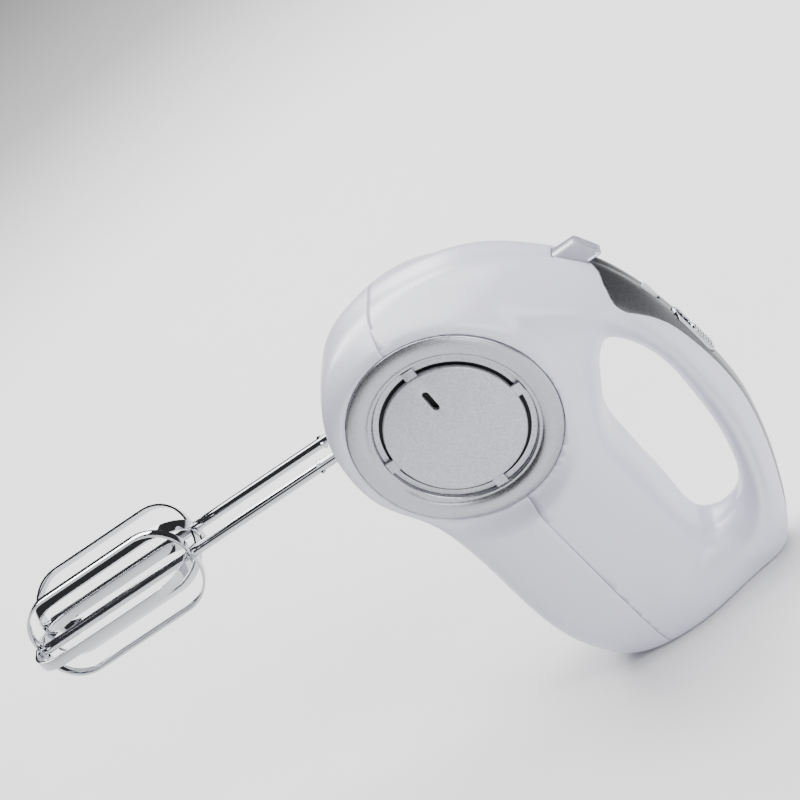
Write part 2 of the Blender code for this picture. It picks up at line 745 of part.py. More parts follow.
def build_ring(name, side):
    """A ring with a low crest, and edges that fall away to the groove and to the housing."""
    width = RING_RADIUS - RING_LIP_RADIUS
    profile = (
        (RING_RADIUS, RING_CREST * 0.12),
        (RING_RADIUS, -RING_DEPTH),
        (RING_LIP_RADIUS, -RING_DEPTH),
        (RING_LIP_RADIUS, -RING_CREST * 0.24),
        (RING_LIP_RADIUS + width * 0.12, RING_CREST * 0.35),
        (RING_LIP_RADIUS + width * 0.37, RING_CREST),
        (RING_RADIUS - width * 0.41, RING_CREST),
        (RING_RADIUS - width * 0.1, RING_CREST * 0.53),
    )
    turned(
        f"side_ring_{name}",
        profile,
        side_vector(SEAT_CENTRE, side),
        side_vector(SEAT_NORMAL, side),
        SATIN_SILVER,
        40,
    )


def build_disc(name, side):
    """The vent disc, joined to its ring by four tabs with the air gaps between them."""
    centre = side_vector(SEAT_CENTRE, side)
    normal = side_vector(SEAT_NORMAL, side)
    middle = centre + normal * (DISC_RISE - DISC_THICKNESS / 2)
    half = normal * DISC_THICKNESS / 2
    disc = add_object(
        f"vent_disc_{name}",
        mesh_from(cylinder(DISC_RADIUS, middle - half, middle + half, 40), f"vent_disc_{name}"),
        DISC_SILVER,
    )
    turn = facing(normal, (0, 0, 1))
    reach = 2 * (RING_LIP_RADIUS - GAP)
    tab_centre = centre + normal * (DISC_RISE - TAB_THICKNESS)
    for label, size in (("x", (TAB_WIDTH, reach)), ("z", (reach, TAB_WIDTH))):
        tab = box((*size, TAB_THICKNESS), tab_centre, turn)
        boolean(disc, "UNION", tab, f"{name}_tabs_{label}")
    slot_place = centre + turn @ Vector((SLOT_OFFSET, 0, 0))
    slot = prism(lozenge(SLOT_LENGTH, SLOT_WIDTH), PAST, slot_place, turn)
    boolean(disc, "DIFFERENCE", slot, f"{name}_disc_slot")


# ---- controls ----


def build_slider():
    along = SLIDER_OUT.cross(Vector((0, 1, 0)))
    turn = facing(SLIDER_OUT, along)
    outline = lozenge(BEZEL_LENGTH, BEZEL_WIDTH)
    middle = SLIDER_CENTRE + SLIDER_OUT * (BEZEL_PROUD - BEZEL_DEPTH / 2)
    bezel = add_object(
        "slider_bezel",
        mesh_from(prism(outline, BEZEL_DEPTH / 2, middle, turn), "slider_bezel"),
        CHROME,
    )
    window = prism(
        lozenge(BEZEL_LENGTH - 2 * BEZEL_RIM, BEZEL_WIDTH - 2 * BEZEL_RIM), PAST, middle, turn
    )
    boolean(bezel, "DIFFERENCE", window, "bezel_window")

    # The grip starts at the heel's end of the window and slides towards the nose.
    width = BEZEL_WIDTH - 2 * BEZEL_RIM - 2 * GAP
    inside = BEZEL_LENGTH - 2 * BEZEL_RIM
    shift = (inside - GRIP_LENGTH) / 2 - GAP
    half = BUTTON_DEPTH / 2
    grip_middle = SLIDER_CENTRE - along * shift + SLIDER_OUT * (GRIP_PROUD - half)
    grip = add_object(
        "speed_slider",
        mesh_from(prism(lozenge(GRIP_LENGTH, width), half, grip_middle, turn), "speed_slider"),
        CHROME,
    )
    grooves = []
    for i in range(GRIP_GROOVES):
        offset = along * (i - (GRIP_GROOVES - 1) / 2) * GROOVE_PITCH
        grooves.append(box(GROOVE_SIZE, grip_middle + offset + SLIDER_OUT * half, turn))
    boolean(grip, "DIFFERENCE", joined(*grooves), "grip_grooves")
    set_origin(grip, grip_middle)


def build_turbo_button():
    along = TURBO_OUT.cross(Vector((0, 1, 0)))
    turn = facing(TURBO_OUT, along)
    half = BUTTON_DEPTH / 2
    middle = TURBO_CENTRE + TURBO_OUT * (TURBO_PROUD - half)
    cap = prism(lozenge(TURBO_LENGTH, TURBO_WIDTH), half, middle, turn)
    button = add_object("turbo_button", mesh_from(cap, "turbo_button"), GREY_PLASTIC)
    set_origin(button, middle)


def build_switches():
    centre = SLIDER_CENTRE - SLIDER_OUT * SPEED_SWITCH_DEPTH
    turn = facing(SLIDER_OUT.cross(Vector((0, -1, 0))), SLIDER_OUT)
    speed = rounded_box(SPEED_SWITCH_SIZE, SWITCH_EDGE, centre, turn)
    add_object("speed_switch", mesh_from(speed, "speed_switch"), DARK_PLASTIC)
    centre = TURBO_CENTRE - TURBO_OUT * TURBO_SWITCH_DEPTH
    turn = facing(TURBO_OUT.cross(Vector((0, -1, 0))), TURBO_OUT)
    turbo = rounded_box(TURBO_SWITCH_SIZE, SWITCH_EDGE, centre, turn)
    add_object("turbo_switch", mesh_from(turbo, "turbo_switch"), DARK_PLASTIC)


def build_eject_button():
    low_z = EJECT_Z - EJECT_HEIGHT / 2
    high_z = EJECT_Z + EJECT_HEIGHT / 2
    back = EJECT_FLANGE_X
    outline = [(back, low_z), (EJECT_TOP_LOW, low_z), (EJECT_TOP_HIGH, high_z), (back, high_z)]
    turn = facing((0, -1, 0), (1, 0, 0))
    bm = prism(outline, EJECT_WIDTH / 2, (0, 0, 0), turn)
    bmesh.ops.bevel(bm, geom=bm.edges[:], offset=EJECT_EDGE, segments=2, profile=0.5, affect="EDGES")
    button = add_object("eject_button", mesh_from(bm, "eject_button"), CLEAR)
    half = Vector((0, EJECT_WIDTH / 2, EJECT_HEIGHT / 2)) + EJECT_FLANGE_RIM
    centre = Vector((back, 0, EJECT_Z))
    thick = Vector((EJECT_FLANGE, 0, 0))
    flange = block(centre - thick - half, centre + thick / 2 + half)
    boolean(button, "UNION", flange, "eject_flange")
    set_origin(button, (EJECT_FLANGE_X, 0, EJECT_Z))


def build_ejector():
    """The plate behind the spindles and its stem, which the eject button pushes."""
    half_y = BEATER_SPACING / 2 + SHAFT_RADIUS + PLATE_MARGIN
    low = BEATER_Z - SHAFT_RADIUS - PLATE_MARGIN
    plate = block(
        (EJECTOR_PLATE_X, -half_y, low),
        (EJECTOR_PLATE_X + EJECTOR_PLATE, half_y, EJECT_Z + STEM_SIZE / 2),
    )
    ejector = add_object("ejector_plate", mesh_from(plate, "ejector_plate"), STEEL)
    stem = block(
        (EJECTOR_PLATE_X + EJECTOR_PLATE / 2, -STEM_SIZE / 2, EJECT_Z - STEM_SIZE / 2),
        (EJECT_FLANGE_X - EJECT_FLANGE - GAP, STEM_SIZE / 2, EJECT_Z + STEM_SIZE / 2 - STEM_DROP),
    )
    boolean(ejector, "UNION", stem, "ejector_stem")
    set_origin(ejector, (EJECTOR_PLATE_X, 0, EJECT_Z))
    start = (FRAME_X[1] + SPRING_END, 0, EJECT_Z)
    end = (EJECT_FLANGE_X - EJECT_FLANGE - SPRING_END, 0, EJECT_Z)
    coil("eject_spring", SPRING_RADIUS, SPRING_WIRE, start, end, SPRING_TURNS, STEEL)


# ---- beaters and drive ----


def loop_outline(tip, top, half_width, tip_corner, top_corner):
    """Half outline of a beater's loop, mirrored into a closed one. tip and top lie on the axis."""
    steps = 5
    points = arc((tip + tip_corner, half_width - tip_corner), tip_corner, 180, 90, steps)
    points += arc((top - top_corner, half_width - top_corner), top_corner, 90, 0, steps)
    return points + [(along, -across) for along, across in points[::-1]]


def build_loop(name, y, turn_degrees, tip, top):
    """One flat strip bent into a closed loop round the shaft."""
    half = CAGE_HALF_WIDTH
    thin = STRIP_THICKNESS
    spin = Matrix.Rotation(math.radians(turn_degrees), 3, "X")
    turn = spin @ facing((0, -1, 0), (1, 0, 0))
    centre = Vector((0, y, BEATER_Z))
    outer = loop_outline(tip, top, half, TIP_CORNER, TOP_CORNER)
    inner = loop_outline(tip + thin, top - thin, half - thin, TIP_CORNER - thin, TOP_CORNER - thin)
    bm = bmesh.new()
    rings = []
    for outline, height in ((outer, -1), (outer, 1), (inner, 1), (inner, -1)):
        rings.append([bm.verts.new((x, z, height * STRIP_WIDTH / 2)) for x, z in outline])
    count = len(outer)
    for ring, following in zip(rings, rings[1:] + rings[:1]):
        for j in range(count):
            after = (j + 1) % count
            bm.faces.new((ring[j], ring[after], following[after], following[j]))
    loop = add_object(name, mesh_from(placed(bm, centre, turn), name), CHROME)
    hole = cylinder(
        CORE_RADIUS + GAP, (tip - PAST, y, BEATER_Z), (tip + PAST, y, BEATER_Z), 12
    )
    boolean(loop, "DIFFERENCE", hole, f"{name}_tip_hole")
    hole = cylinder(SHAFT_RADIUS + GAP, (top - PAST, y, BEATER_Z), (top + PAST, y, BEATER_Z), 16)
    boolean(loop, "DIFFERENCE", hole, f"{name}_top_hole")
    set_origin(loop, (tip, y, BEATER_Z))


def build_shaft(name, y, turn_degrees):
    """The beater's tubular shaft: a thin end riveted at the tip, four ears, an open drive end."""
    rivet = BEATER_TIP_X - GAP
    neck = CORE_LENGTH + GAP
    bore = neck + 2 * SHAFT_BORE_RADIUS
    length = SHAFT_END_X - rivet
    profile = (
        (0, bore),
        (SHAFT_BORE_RADIUS, bore),
        (SHAFT_BORE_RADIUS, length),
        (SHAFT_RADIUS - SHAFT_EDGE, length),
        (SHAFT_RADIUS, length - SHAFT_EDGE),
        (SHAFT_RADIUS, neck),
        (CORE_RADIUS, neck),
        (CORE_RADIUS, 0),
        (CORE_RADIUS + RIVET_RIM, 0),
        (CORE_RADIUS + RIVET_RIM / 2, -RIVET_RIM / 2),
        (0, -RIVET_RIM),
    )
    shaft = turned(name, profile, (rivet, y, BEATER_Z), (1, 0, 0), CHROME, 16, closed=False)
    reach = 2 * (SHAFT_RADIUS + LUG_PROUD)
    for number in range(2):
        spin = Matrix.Rotation(math.radians(turn_degrees + 45 + 90 * number), 3, "X")
        ear = box((LUG_LENGTH, reach, LUG_THICKNESS), (LUG_X, y, BEATER_Z), spin)
        boolean(shaft, "UNION", ear, f"{name}_ears_{number}")


def build_beater(name, side):
    y = side * BEATER_SPACING / 2
    phase = 45 if side > 0 else 0
    top = BEATER_TIP_X + CAGE_LENGTH
    step = STRIP_THICKNESS + LOOP_STEP
    build_loop(f"beater_{name}_outer_loop", y, phase + 90, BEATER_TIP_X, top - step)
    build_loop(f"beater_{name}_inner_loop", y, phase, BEATER_TIP_X + step, top)
    build_shaft(f"beater_{name}_shaft", y, phase)


def gear_outline(phase):
    pitch_radius = GEAR_TEETH * GEAR_MODULE / 2
    root = pitch_radius - ROOT_DEPTH * GEAR_MODULE
    tip = pitch_radius + TIP_HEIGHT * GEAR_MODULE
    points = []
    for tooth in range(GEAR_TEETH):
        for radius, share in (
            (root, -TOOTH_HALF_SHARE - TOOTH_SLOPE),
            (tip, -TOOTH_HALF_SHARE + TOOTH_SLOPE),
            (tip, TOOTH_HALF_SHARE - TOOTH_SLOPE),
            (root, TOOTH_HALF_SHARE + TOOTH_SLOPE),
        ):
            angle = 2 * math.pi * (tooth + phase + share) / GEAR_TEETH
            points.append((radius * math.cos(angle), radius * math.sin(angle)))
    return points


def build_spindle(name, side):
    y = side * BEATER_SPACING / 2
    sleeve(
        f"spindle_{name}",
        SHAFT_RADIUS + GAP,
        SPINDLE_RADIUS,
        (SPINDLE_MOUTH_X, y, BEATER_Z),
        (SPINDLE_END_X, y, BEATER_Z),
        STEEL,
        20,
    )
    # One gear has a gap towards the worm and the other a tooth, because the worm's two sides
    # are half a pitch apart.
    phase = 0.5 if side > 0 else 0.0
    turn = facing((1, 0, 0), (0, -side, 0))
    gear = add_object(
        f"spindle_gear_{name}",
        mesh_from(
            prism(gear_outline(phase), GEAR_WIDTH / 2, (MOTOR_X, y, BEATER_Z), turn),
            f"spindle_gear_{name}",
        ),
        NYLON,
    )
    middle = Vector((MOTOR_X, y, BEATER_Z))
    reach = Vector((GEAR_WIDTH, 0, 0))
    bore = cylinder(SPINDLE_RADIUS + GAP, middle - reach, middle + reach, 20)
    boolean(gear, "DIFFERENCE", bore, f"{name}_gear_bore")
    set_origin(gear, (MOTOR_X, y, BEATER_Z))
    build_bush(name, y)


def build_bush(name, y):
    """A flanged bush in the gearbox frame's wall, with the spindle through it."""
    inner = SPINDLE_RADIUS + GAP
    outer = inner + BUSH_WALL
    length = FRAME_WALL + 2 * BUSH_FLANGE
    profile = (
        (outer, length),
        (outer, BUSH_FLANGE - GAP),
        (outer + BUSH_RIM, BUSH_FLANGE - GAP),
        (outer + BUSH_RIM, 0),
        (inner, 0),
        (inner, length),
    )
    start = (FRAME_X[0] - BUSH_FLANGE, y, BEATER_Z)
    turned(f"spindle_bush_{name}", profile, start, (1, 0, 0), BRASS, 20)


def build_motor_shaft():
    shaft = add_object(
        "motor_shaft",
        mesh_from(
            cylinder(
                MOTOR_SHAFT_RADIUS, (MOTOR_X, 0, SHAFT_BOTTOM_Z), (MOTOR_X, 0, SHAFT_TOP_Z), 16
            ),
            "motor_shaft",
        ),
        STEEL,
    )
    low = BEATER_Z - WORM_LENGTH / 2
    high = BEATER_Z + WORM_LENGTH / 2
    root = cylinder(WORM_ROOT_RADIUS, (MOTOR_X, 0, low), (MOTOR_X, 0, high), 16)
    boolean(shaft, "UNION", root, "worm_root")

    # The thread passes the left gear's side, which is +Y, level with the gear's axis.
    pitch = math.pi * GEAR_MODULE
    turns = (WORM_LENGTH - 2 * WORM_END) / pitch
    count = round(turns * WORM_STEPS_PER_TURN)
    radius = WORM_ROOT_RADIUS + THREAD_HALF * 0.9
    bm = bmesh.new()
    rings = []
    for i in range(-count // 2, count // 2 + 1):
        angle = 2 * math.pi * i / WORM_STEPS_PER_TURN
        height = BEATER_Z + pitch * i / WORM_STEPS_PER_TURN
        outward = Vector((-math.sin(angle), math.cos(angle), 0))
        centre = Vector((MOTOR_X, 0, height)) + outward * radius
        corners = (
            centre + outward * THREAD_HALF,
            centre + Vector((0, 0, THREAD_HALF * 0.7)) - outward * THREAD_HALF * 0.3,
            centre - outward * THREAD_HALF * 1.3,
            centre - Vector((0, 0, THREAD_HALF * 0.7)) - outward * THREAD_HALF * 0.3,
        )
        rings.append([bm.verts.new(corner) for corner in corners])
    for ring, following in zip(rings, rings[1:]):
        for j in range(4):
            bm.faces.new((ring[j], ring[(j + 1) % 4], following[(j + 1) % 4], following[j]))
    bm.faces.new(rings[0])
    bm.faces.new(rings[-1][::-1])
    boolean(shaft, "UNION", bm, "worm_thread")
    set_origin(shaft, (MOTOR_X, 0, BEATER_Z))


def build_armature():
    inner = MOTOR_SHAFT_RADIUS + GAP
    core_radius = BORE_RADIUS - AIR_GAP
    floor = core_radius * CORE_SLOT_FLOOR
    points = []
    for slot in range(CORE_SLOTS):
        for radius, share in zip((core_radius, core_radius, floor, floor), CORE_SLOT_SHARES):
            angle = 2 * math.pi * (slot + share) / CORE_SLOTS
            points.append((radius * math.cos(angle), radius * math.sin(angle)))
    centre = Vector((MOTOR_X, 0, STATOR_Z + STATOR_LENGTH / 2))
    core = add_object(
        "armature_core", mesh_from(prism(points, STATOR_LENGTH / 2, centre), "armature_core"), STEEL
    )
    top = STATOR_Z + STATOR_LENGTH
    bore = cylinder(inner, (MOTOR_X, 0, STATOR_Z - PAST), (MOTOR_X, 0, top + PAST), 16)
    boolean(core, "DIFFERENCE", bore, "core_bore")
    set_origin(core, centre)
    turned(
        "armature_windings",
        (
            (core_radius * 0.6, WINDING_HEIGHT),
            (core_radius * 0.85, WINDING_HEIGHT * 0.7),
            (core_radius * 0.85, GAP),
            (inner, GAP),
            (inner, WINDING_HEIGHT),
        ),
        (MOTOR_X, 0, top),
        (0, 0, 1),
        COPPER,
        20,
    )
    sleeve(
        "commutator",
        inner,
        COMMUTATOR_RADIUS,
        (MOTOR_X, 0, COMMUTATOR_Z),
        (MOTOR_X, 0, COMMUTATOR_Z + COMMUTATOR_LENGTH),
        COPPER,
        24,
    )


def build_fan():
    low = FAN_Z
    plate = sleeve(
        "cooling_fan",
        MOTOR_SHAFT_RADIUS + GAP,
        FAN_RADIUS,
        (MOTOR_X, 0, low),
        (MOTOR_X, 0, low + FAN_THICKNESS),
        DARK_PLASTIC,
        36,
    )
    blades = []
    for number in range(FAN_BLADES):
        turn = Matrix.Rotation(2 * math.pi * number / FAN_BLADES, 3, "Z")
        offset = turn @ Vector((FAN_RADIUS * 0.66, 0, 0))
        centre = Vector((MOTOR_X, 0, low + (FAN_HEIGHT + FAN_THICKNESS / 2) / 2)) + offset
        sweep = Matrix.Rotation(BLADE_SWEEP, 3, "Z")
        size = (FAN_RADIUS * 0.5, FAN_THICKNESS, FAN_HEIGHT - FAN_THICKNESS / 2)
        blades.append(box(size, centre, turn @ sweep))
    boolean(plate, "UNION", joined(*blades), "fan_blades")


def motor_screw_places():
    return [(MOTOR_X + MOTOR_SCREW_X, MOTOR_SCREW_Y), (MOTOR_X - MOTOR_SCREW_X, -MOTOR_SCREW_Y)]


def build_stator():
    middle = STATOR_Z + STATOR_LENGTH / 2
    half = Vector((STATOR_HALF_X, STATOR_HALF_Y, STATOR_LENGTH / 2))
    bm = block(Vector((MOTOR_X, 0, middle)) - half, Vector((MOTOR_X, 0, middle)) + half)
    upright = [e for e in bm.edges if abs((e.verts[0].co - e.verts[1].co).z) > STATOR_LENGTH / 2]
    bmesh.ops.bevel(bm, geom=upright, offset=STATOR_CORNER, segments=2, profile=0.5, affect="EDGES")
    stator = add_object("motor_stator", mesh_from(bm, "motor_stator"), STEEL)
    low = (MOTOR_X, 0, STATOR_Z - PAST)
    high = (MOTOR_X, 0, STATOR_Z + STATOR_LENGTH + PAST)
    boolean(stator, "DIFFERENCE", cylinder(BORE_RADIUS, low, high, 32), "stator_bore")
    window = (
        COIL_OUTER_X - COIL_INNER_X + 2 * GAP,
        COIL_THICKNESS + 2 * GAP,
        STATOR_LENGTH + 2 * PAST,
    )
    windows = [
        box(window, (MOTOR_X + x * (COIL_OUTER_X + COIL_INNER_X) / 2, y * COIL_Y, middle))
        for x in (-1, 1)
        for y in (-1, 1)
    ]
    boolean(stator, "DIFFERENCE", joined(*windows), "coil_windows")
    radius = SCREW_RADIUS + GAP
    holes = [cylinder(radius, (x, y, low[2]), (x, y, high[2]), 12) for x, y in motor_screw_places()]
    boolean(stator, "DIFFERENCE", joined(*holes), "stator_screw_holes")


def build_field_coils():
    """Two coils, each a rectangular ring through the stator's windows round one pole."""
    middle = STATOR_Z + STATOR_LENGTH / 2
    inside = STATOR_LENGTH / 2 + GAP
    reach = inside + COIL_END
    for name, side in SIDES.items():
        centre = (MOTOR_X, side * COIL_Y, middle)
        body = box((2 * COIL_OUTER_X, COIL_THICKNESS, 2 * reach), centre)
        coil_body = add_object(f"field_coil_{name}", mesh_from(body, f"field_coil_{name}"), COPPER)
        opening = box((2 * COIL_INNER_X, 2 * COIL_THICKNESS, 2 * inside), centre)
        boolean(coil_body, "DIFFERENCE", opening, f"coil_opening_{name}")
        low, high = middle - reach - PAST, middle + reach + PAST
        clear = cylinder(BORE_RADIUS, (MOTOR_X, 0, low), (MOTOR_X, 0, high), 32)
        boolean(coil_body, "DIFFERENCE", clear, f"coil_bore_{name}")


def build_brackets():
    half = BRACKET_HALF
    plate = block(
        (MOTOR_X - half, -half, BRACKET_Z), (MOTOR_X + half, half, BRACKET_Z + BRACKET_THICKNESS)
    )
    upright = [e for e in plate.edges if abs((e.verts[0].co - e.verts[1].co).z) > BRACKET_THICKNESS / 2]
    bmesh.ops.bevel(plate, geom=upright, offset=BRACKET_CORNER, segments=3, profile=0.5, affect="EDGES")
    bracket = add_object("rear_bearing_bracket", mesh_from(plate, "rear_bearing_bracket"), STEEL)
    seat = cylinder(
        BEARING_RADIUS + GAP, (MOTOR_X, 0, BRACKET_Z - PAST), (MOTOR_X, 0, BRACKET_Z + 2 * PAST)
    )
    boolean(bracket, "DIFFERENCE", seat, "bearing_seat")
    inner = MOTOR_SHAFT_RADIUS + GAP
    middle = BRACKET_Z + BRACKET_THICKNESS / 2
    for name, centre in (("rear_bearing", middle), ("front_bearing", FRAME_Z[0] + FRAME_WALL / 2)):
        start = (MOTOR_X, 0, centre - BEARING_LENGTH / 2)
        end = (MOTOR_X, 0, centre + BEARING_LENGTH / 2)
        sleeve(name, inner, BEARING_RADIUS, start, end, BRASS, 20)


def build_brushes():
    z = COMMUTATOR_Z + COMMUTATOR_LENGTH / 2
    start = COMMUTATOR_RADIUS + GAP
    channel = BRUSH_SIZE + Vector((2 * GAP, 2 * BRUSH_HOLDER_SIZE.y, 2 * GAP))
    for name, side in SIDES.items():
        brush = box(BRUSH_SIZE, (MOTOR_X, side * (start + BRUSH_SIZE.y / 2), z))
        add_object(f"carbon_brush_{name}", mesh_from(brush, f"carbon_brush_{name}"), CARBON)
        centre = (MOTOR_X, side * (start + BRUSH_SIZE.y / 3 + BRUSH_HOLDER_SIZE.y / 2), z)
        body = box(BRUSH_HOLDER_SIZE, centre)
        holder = add_object(f"brush_holder_{name}", mesh_from(body, f"brush_holder_{name}"), BRASS)
        boolean(holder, "DIFFERENCE", box(channel, centre), f"brush_channel_{name}")


def build_frame():
    low = (FRAME_X[0], -FRAME_HALF_Y, FRAME_Z[0])
    high = (FRAME_X[1], FRAME_HALF_Y, FRAME_Z[1])
    frame = add_object("gearbox_frame", mesh_from(block(low, high), "gearbox_frame"), DARK_PLASTIC)
    inside = block(
        (low[0] + FRAME_WALL, low[1] - PAST, low[2] + FRAME_WALL),
        (high[0] - FRAME_WALL, high[1] + PAST, high[2] - FRAME_WALL),
    )
    boolean(frame, "DIFFERENCE", inside, "frame_window")
    holes = []
    for side in SIDES.values():
        y = side * BEATER_SPACING / 2
        radius = SPINDLE_RADIUS + BUSH_WALL + 2 * GAP
        start = (FRAME_X[0] - PAST, y, BEATER_Z)
        holes.append(cylinder(radius, start, (FRAME_X[0] + PAST, y, BEATER_Z), 20))
    for radius, z in ((BEARING_RADIUS, FRAME_Z[0]), (MOTOR_SHAFT_RADIUS, FRAME_Z[1])):
        holes.append(cylinder(radius + GAP, (MOTOR_X, 0, z - PAST), (MOTOR_X, 0, z + PAST), 20))
    stem = STEM_SIZE + 2 * GAP
    holes.append(box((FRAME_WALL + PAST, stem, stem), (FRAME_X[1] - FRAME_WALL / 2, 0, EJECT_Z)))
    boolean(frame, "DIFFERENCE", joined(*holes), "frame_holes")


def build_motor_screws():
    low = BRACKET_Z + BRACKET_THICKNESS + GAP
    for number, (x, y) in enumerate(motor_screw_places(), 1):
        shank = cylinder(SCREW_RADIUS, (x, y, low), (x, y, FRAME_Z[0] - GAP), 12)
        add_object(f"motor_screw_{number}", mesh_from(shank, f"motor_screw_{number}"), STEEL)


# ---- heel ----


def heel_outline(inset):
    """The pad's outline seen from above, (x, y), with cut corners."""
    cut = PAD_CORNER
    back, front = PAD_X[0] + inset, PAD_X[1] - inset
    wide, narrow = PAD_HALF_WIDTHS[0] - inset, PAD_HALF_WIDTHS[1] - inset
    half = [(back, wide - cut), (back + cut, wide), (front - cut, narrow), (front, narrow - cut)]
    return half + [(x, -y) for x, y in half[::-1]]


def build_heel(lower, upper):
    centre = (0, 0, STAND_Z + PAD_THICKNESS / 2)
    pad = prism(heel_outline(0), PAD_THICKNESS / 2, centre)
    add_object("heel_pad", mesh_from(pad, "heel_pad"), RUBBER)
    for shell in (lower, upper):
        pocket = prism(heel_outline(-GAP), PAD_THICKNESS / 2 + GAP, centre)
        boolean(shell, "DIFFERENCE", pocket, f"{shell.name}_pad_pocket")


def build_gland():
    start = GLAND_CENTRE - GLAND_OUT * GLAND_DEPTH
    end = GLAND_CENTRE + GLAND_OUT * GLAND_PROUD
    sleeve("cord_gland", CORD_RADIUS, GLAND_RADIUS, start, end, RUBBER, 20)


def build_board():
    """The suppressor board over the heel, with its capacitor and choke."""
    board = box(BOARD_SIZE, BOARD_CENTRE)
    add_object("circuit_board", mesh_from(board, "circuit_board"), BOARD)
    top = BOARD_CENTRE + Vector((0, 0, BOARD_SIZE.z / 2 + GAP))
    place = top + CAPACITOR_PLACE + Vector((0, 0, CAPACITOR_SIZE.z / 2))
    capacitor = rounded_box(CAPACITOR_SIZE, CAPACITOR_EDGE, place)
    add_object("mains_capacitor", mesh_from(capacitor, "mains_capacitor"), GREY_PLASTIC)
    start = top + CHOKE_PLACE
    choke = cylinder(CHOKE_RADIUS, start, start + Vector((0, 0, CHOKE_LENGTH)), 16)
    add_object("choke", mesh_from(choke, "choke"), COPPER)


def raise_to_stand():
    """Puts the underside of the heel pad at z = 0, by parenting pieces and cutters to an empty."""
    root = bpy.data.objects.new("mixer", None)
    for piece in (*PARTS.objects, *CUTTERS.objects):
        piece.parent = root
    PARTS.objects.link(root)
    root.location.z = -STAND_Z


def build_mixer():
    skin = body_skin()
    lower = build_lower_housing(skin)
    upper = build_upper_housing(skin)
    build_panel(skin)
    skin.free()
    build_housing_screws()
    for name, side in SIDES.items():
        build_ring(name, side)
        build_disc(name, side)
        build_spindle(name, side)
        build_beater(name, side)
    build_slider()
    build_turbo_button()
    build_switches()
    build_eject_button()
    build_ejector()
    build_motor_shaft()
    build_armature()
    build_fan()
    build_stator()
    build_field_coils()
    build_brackets()
    build_brushes()
    build_frame()
    build_motor_screws()
    build_heel(lower, upper)
    build_gland()
    build_board()
    raise_to_stand()


build_mixer()
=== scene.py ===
"""Hand mixer: the fine surfaces, finishes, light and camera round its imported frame.

The frame stands on z = 0, nose up, with the handle towards +X and the beaters towards -X.
Sizes below are in millimetres from the motor's datum plane, which lies DATUM above z = 0.
"""

import math

import bmesh
import bpy
import numpy as np
from mathutils import Matrix, Vector


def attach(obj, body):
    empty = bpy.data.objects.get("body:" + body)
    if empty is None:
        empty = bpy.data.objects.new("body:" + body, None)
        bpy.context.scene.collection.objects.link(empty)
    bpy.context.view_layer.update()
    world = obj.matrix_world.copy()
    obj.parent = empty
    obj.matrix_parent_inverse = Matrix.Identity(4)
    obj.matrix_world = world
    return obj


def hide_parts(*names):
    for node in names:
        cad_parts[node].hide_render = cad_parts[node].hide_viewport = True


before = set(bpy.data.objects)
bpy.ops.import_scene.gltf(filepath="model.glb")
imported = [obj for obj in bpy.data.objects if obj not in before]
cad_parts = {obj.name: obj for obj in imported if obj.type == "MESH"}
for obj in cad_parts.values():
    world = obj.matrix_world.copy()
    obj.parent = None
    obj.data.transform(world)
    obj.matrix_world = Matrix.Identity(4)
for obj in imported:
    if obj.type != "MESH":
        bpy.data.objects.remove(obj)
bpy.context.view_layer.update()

MM = 0.001
DATUM = Vector((0, 0, 3.5 * MM))
GAP = 0.3 * MM  # clearance between neighbouring pieces
WALL = 1.1 * MM  # of the visible shells
THROUGH = 8.0 * MM  # half the length of a cut that passes right through
SIDES = {"left": 1, "right": -1}

# ---- camera ----

CAMERA_RIGHT = Vector((0.8039, 0, -0.5948))
CAMERA_BACK = Vector((0.2514, -0.9063, 0.3397))
CAMERA_TARGET = Vector((-0.0413, 0, 0.1405))
CAMERA_DISTANCE = 1.17
CAMERA_LENS = 135
CAMERA_SENSOR = 36


def aim(obj, right, up, back, place):
    """Stands an object at a place with its own X, Y and Z along right, up and back."""
    turn = Matrix((right, up, back)).transposed().to_4x4()
    obj.matrix_world = Matrix.Translation(place) @ turn


def build_camera():
    data = bpy.data.cameras.new("camera")
    data.lens = CAMERA_LENS
    data.sensor_width = CAMERA_SENSOR
    data.clip_start = 0.01
    camera = bpy.data.objects.new("camera", data)
    bpy.context.scene.collection.objects.link(camera)
    back = CAMERA_BACK.normalized()
    right = (CAMERA_RIGHT - back * CAMERA_RIGHT.dot(back)).normalized()
    aim(camera, right, back.cross(right), back, CAMERA_TARGET + back * CAMERA_DISTANCE)
    bpy.context.scene.camera = camera


# ---- light and floor ----

FLOOR_REACH = 6
WORLD_STRENGTH = 0.06

# Each light: name, direction from the object, distance, width and height, power, colour
LIGHTS = (
    ("top", (0.05, 0.3, 1.0), 1.6, (2.0, 1.6), 70.0, (1, 1, 1)),
    ("key", (1.0, -0.8, 0.7), 1.3, (0.4, 0.9), 12.0, (1, 1, 1)),
    ("front", (0.15, -1.0, 0.15), 1.4, (0.25, 0.9), 5.0, (0.98, 0.98, 1)),
    ("behind", (-0.35, 1.0, 0.6), 1.3, (0.9, 0.3), 12.0, (1, 1, 1)),
)


def build_lights():
    for name, direction, distance, size, power, color in LIGHTS:
        data = bpy.data.lights.new(name, "AREA")
        data.shape = "RECTANGLE"
        data.size, data.size_y = size
        data.energy = power
        data.color = color
        light = bpy.data.objects.new(name, data)
        bpy.context.scene.collection.objects.link(light)
        back = Vector(direction).normalized()
        right = Vector((0, 0, 1)).cross(back).normalized()
        aim(light, right, back.cross(right), back, CAMERA_TARGET + back * distance)


def build_world():
    world = bpy.data.worlds.new("studio")
    bpy.context.scene.world = world
    world.use_nodes = True
    background = world.node_tree.nodes["Background"]
    background.inputs["Color"].default_value = (1, 1, 1, 1)
    background.inputs["Strength"].default_value = WORLD_STRENGTH


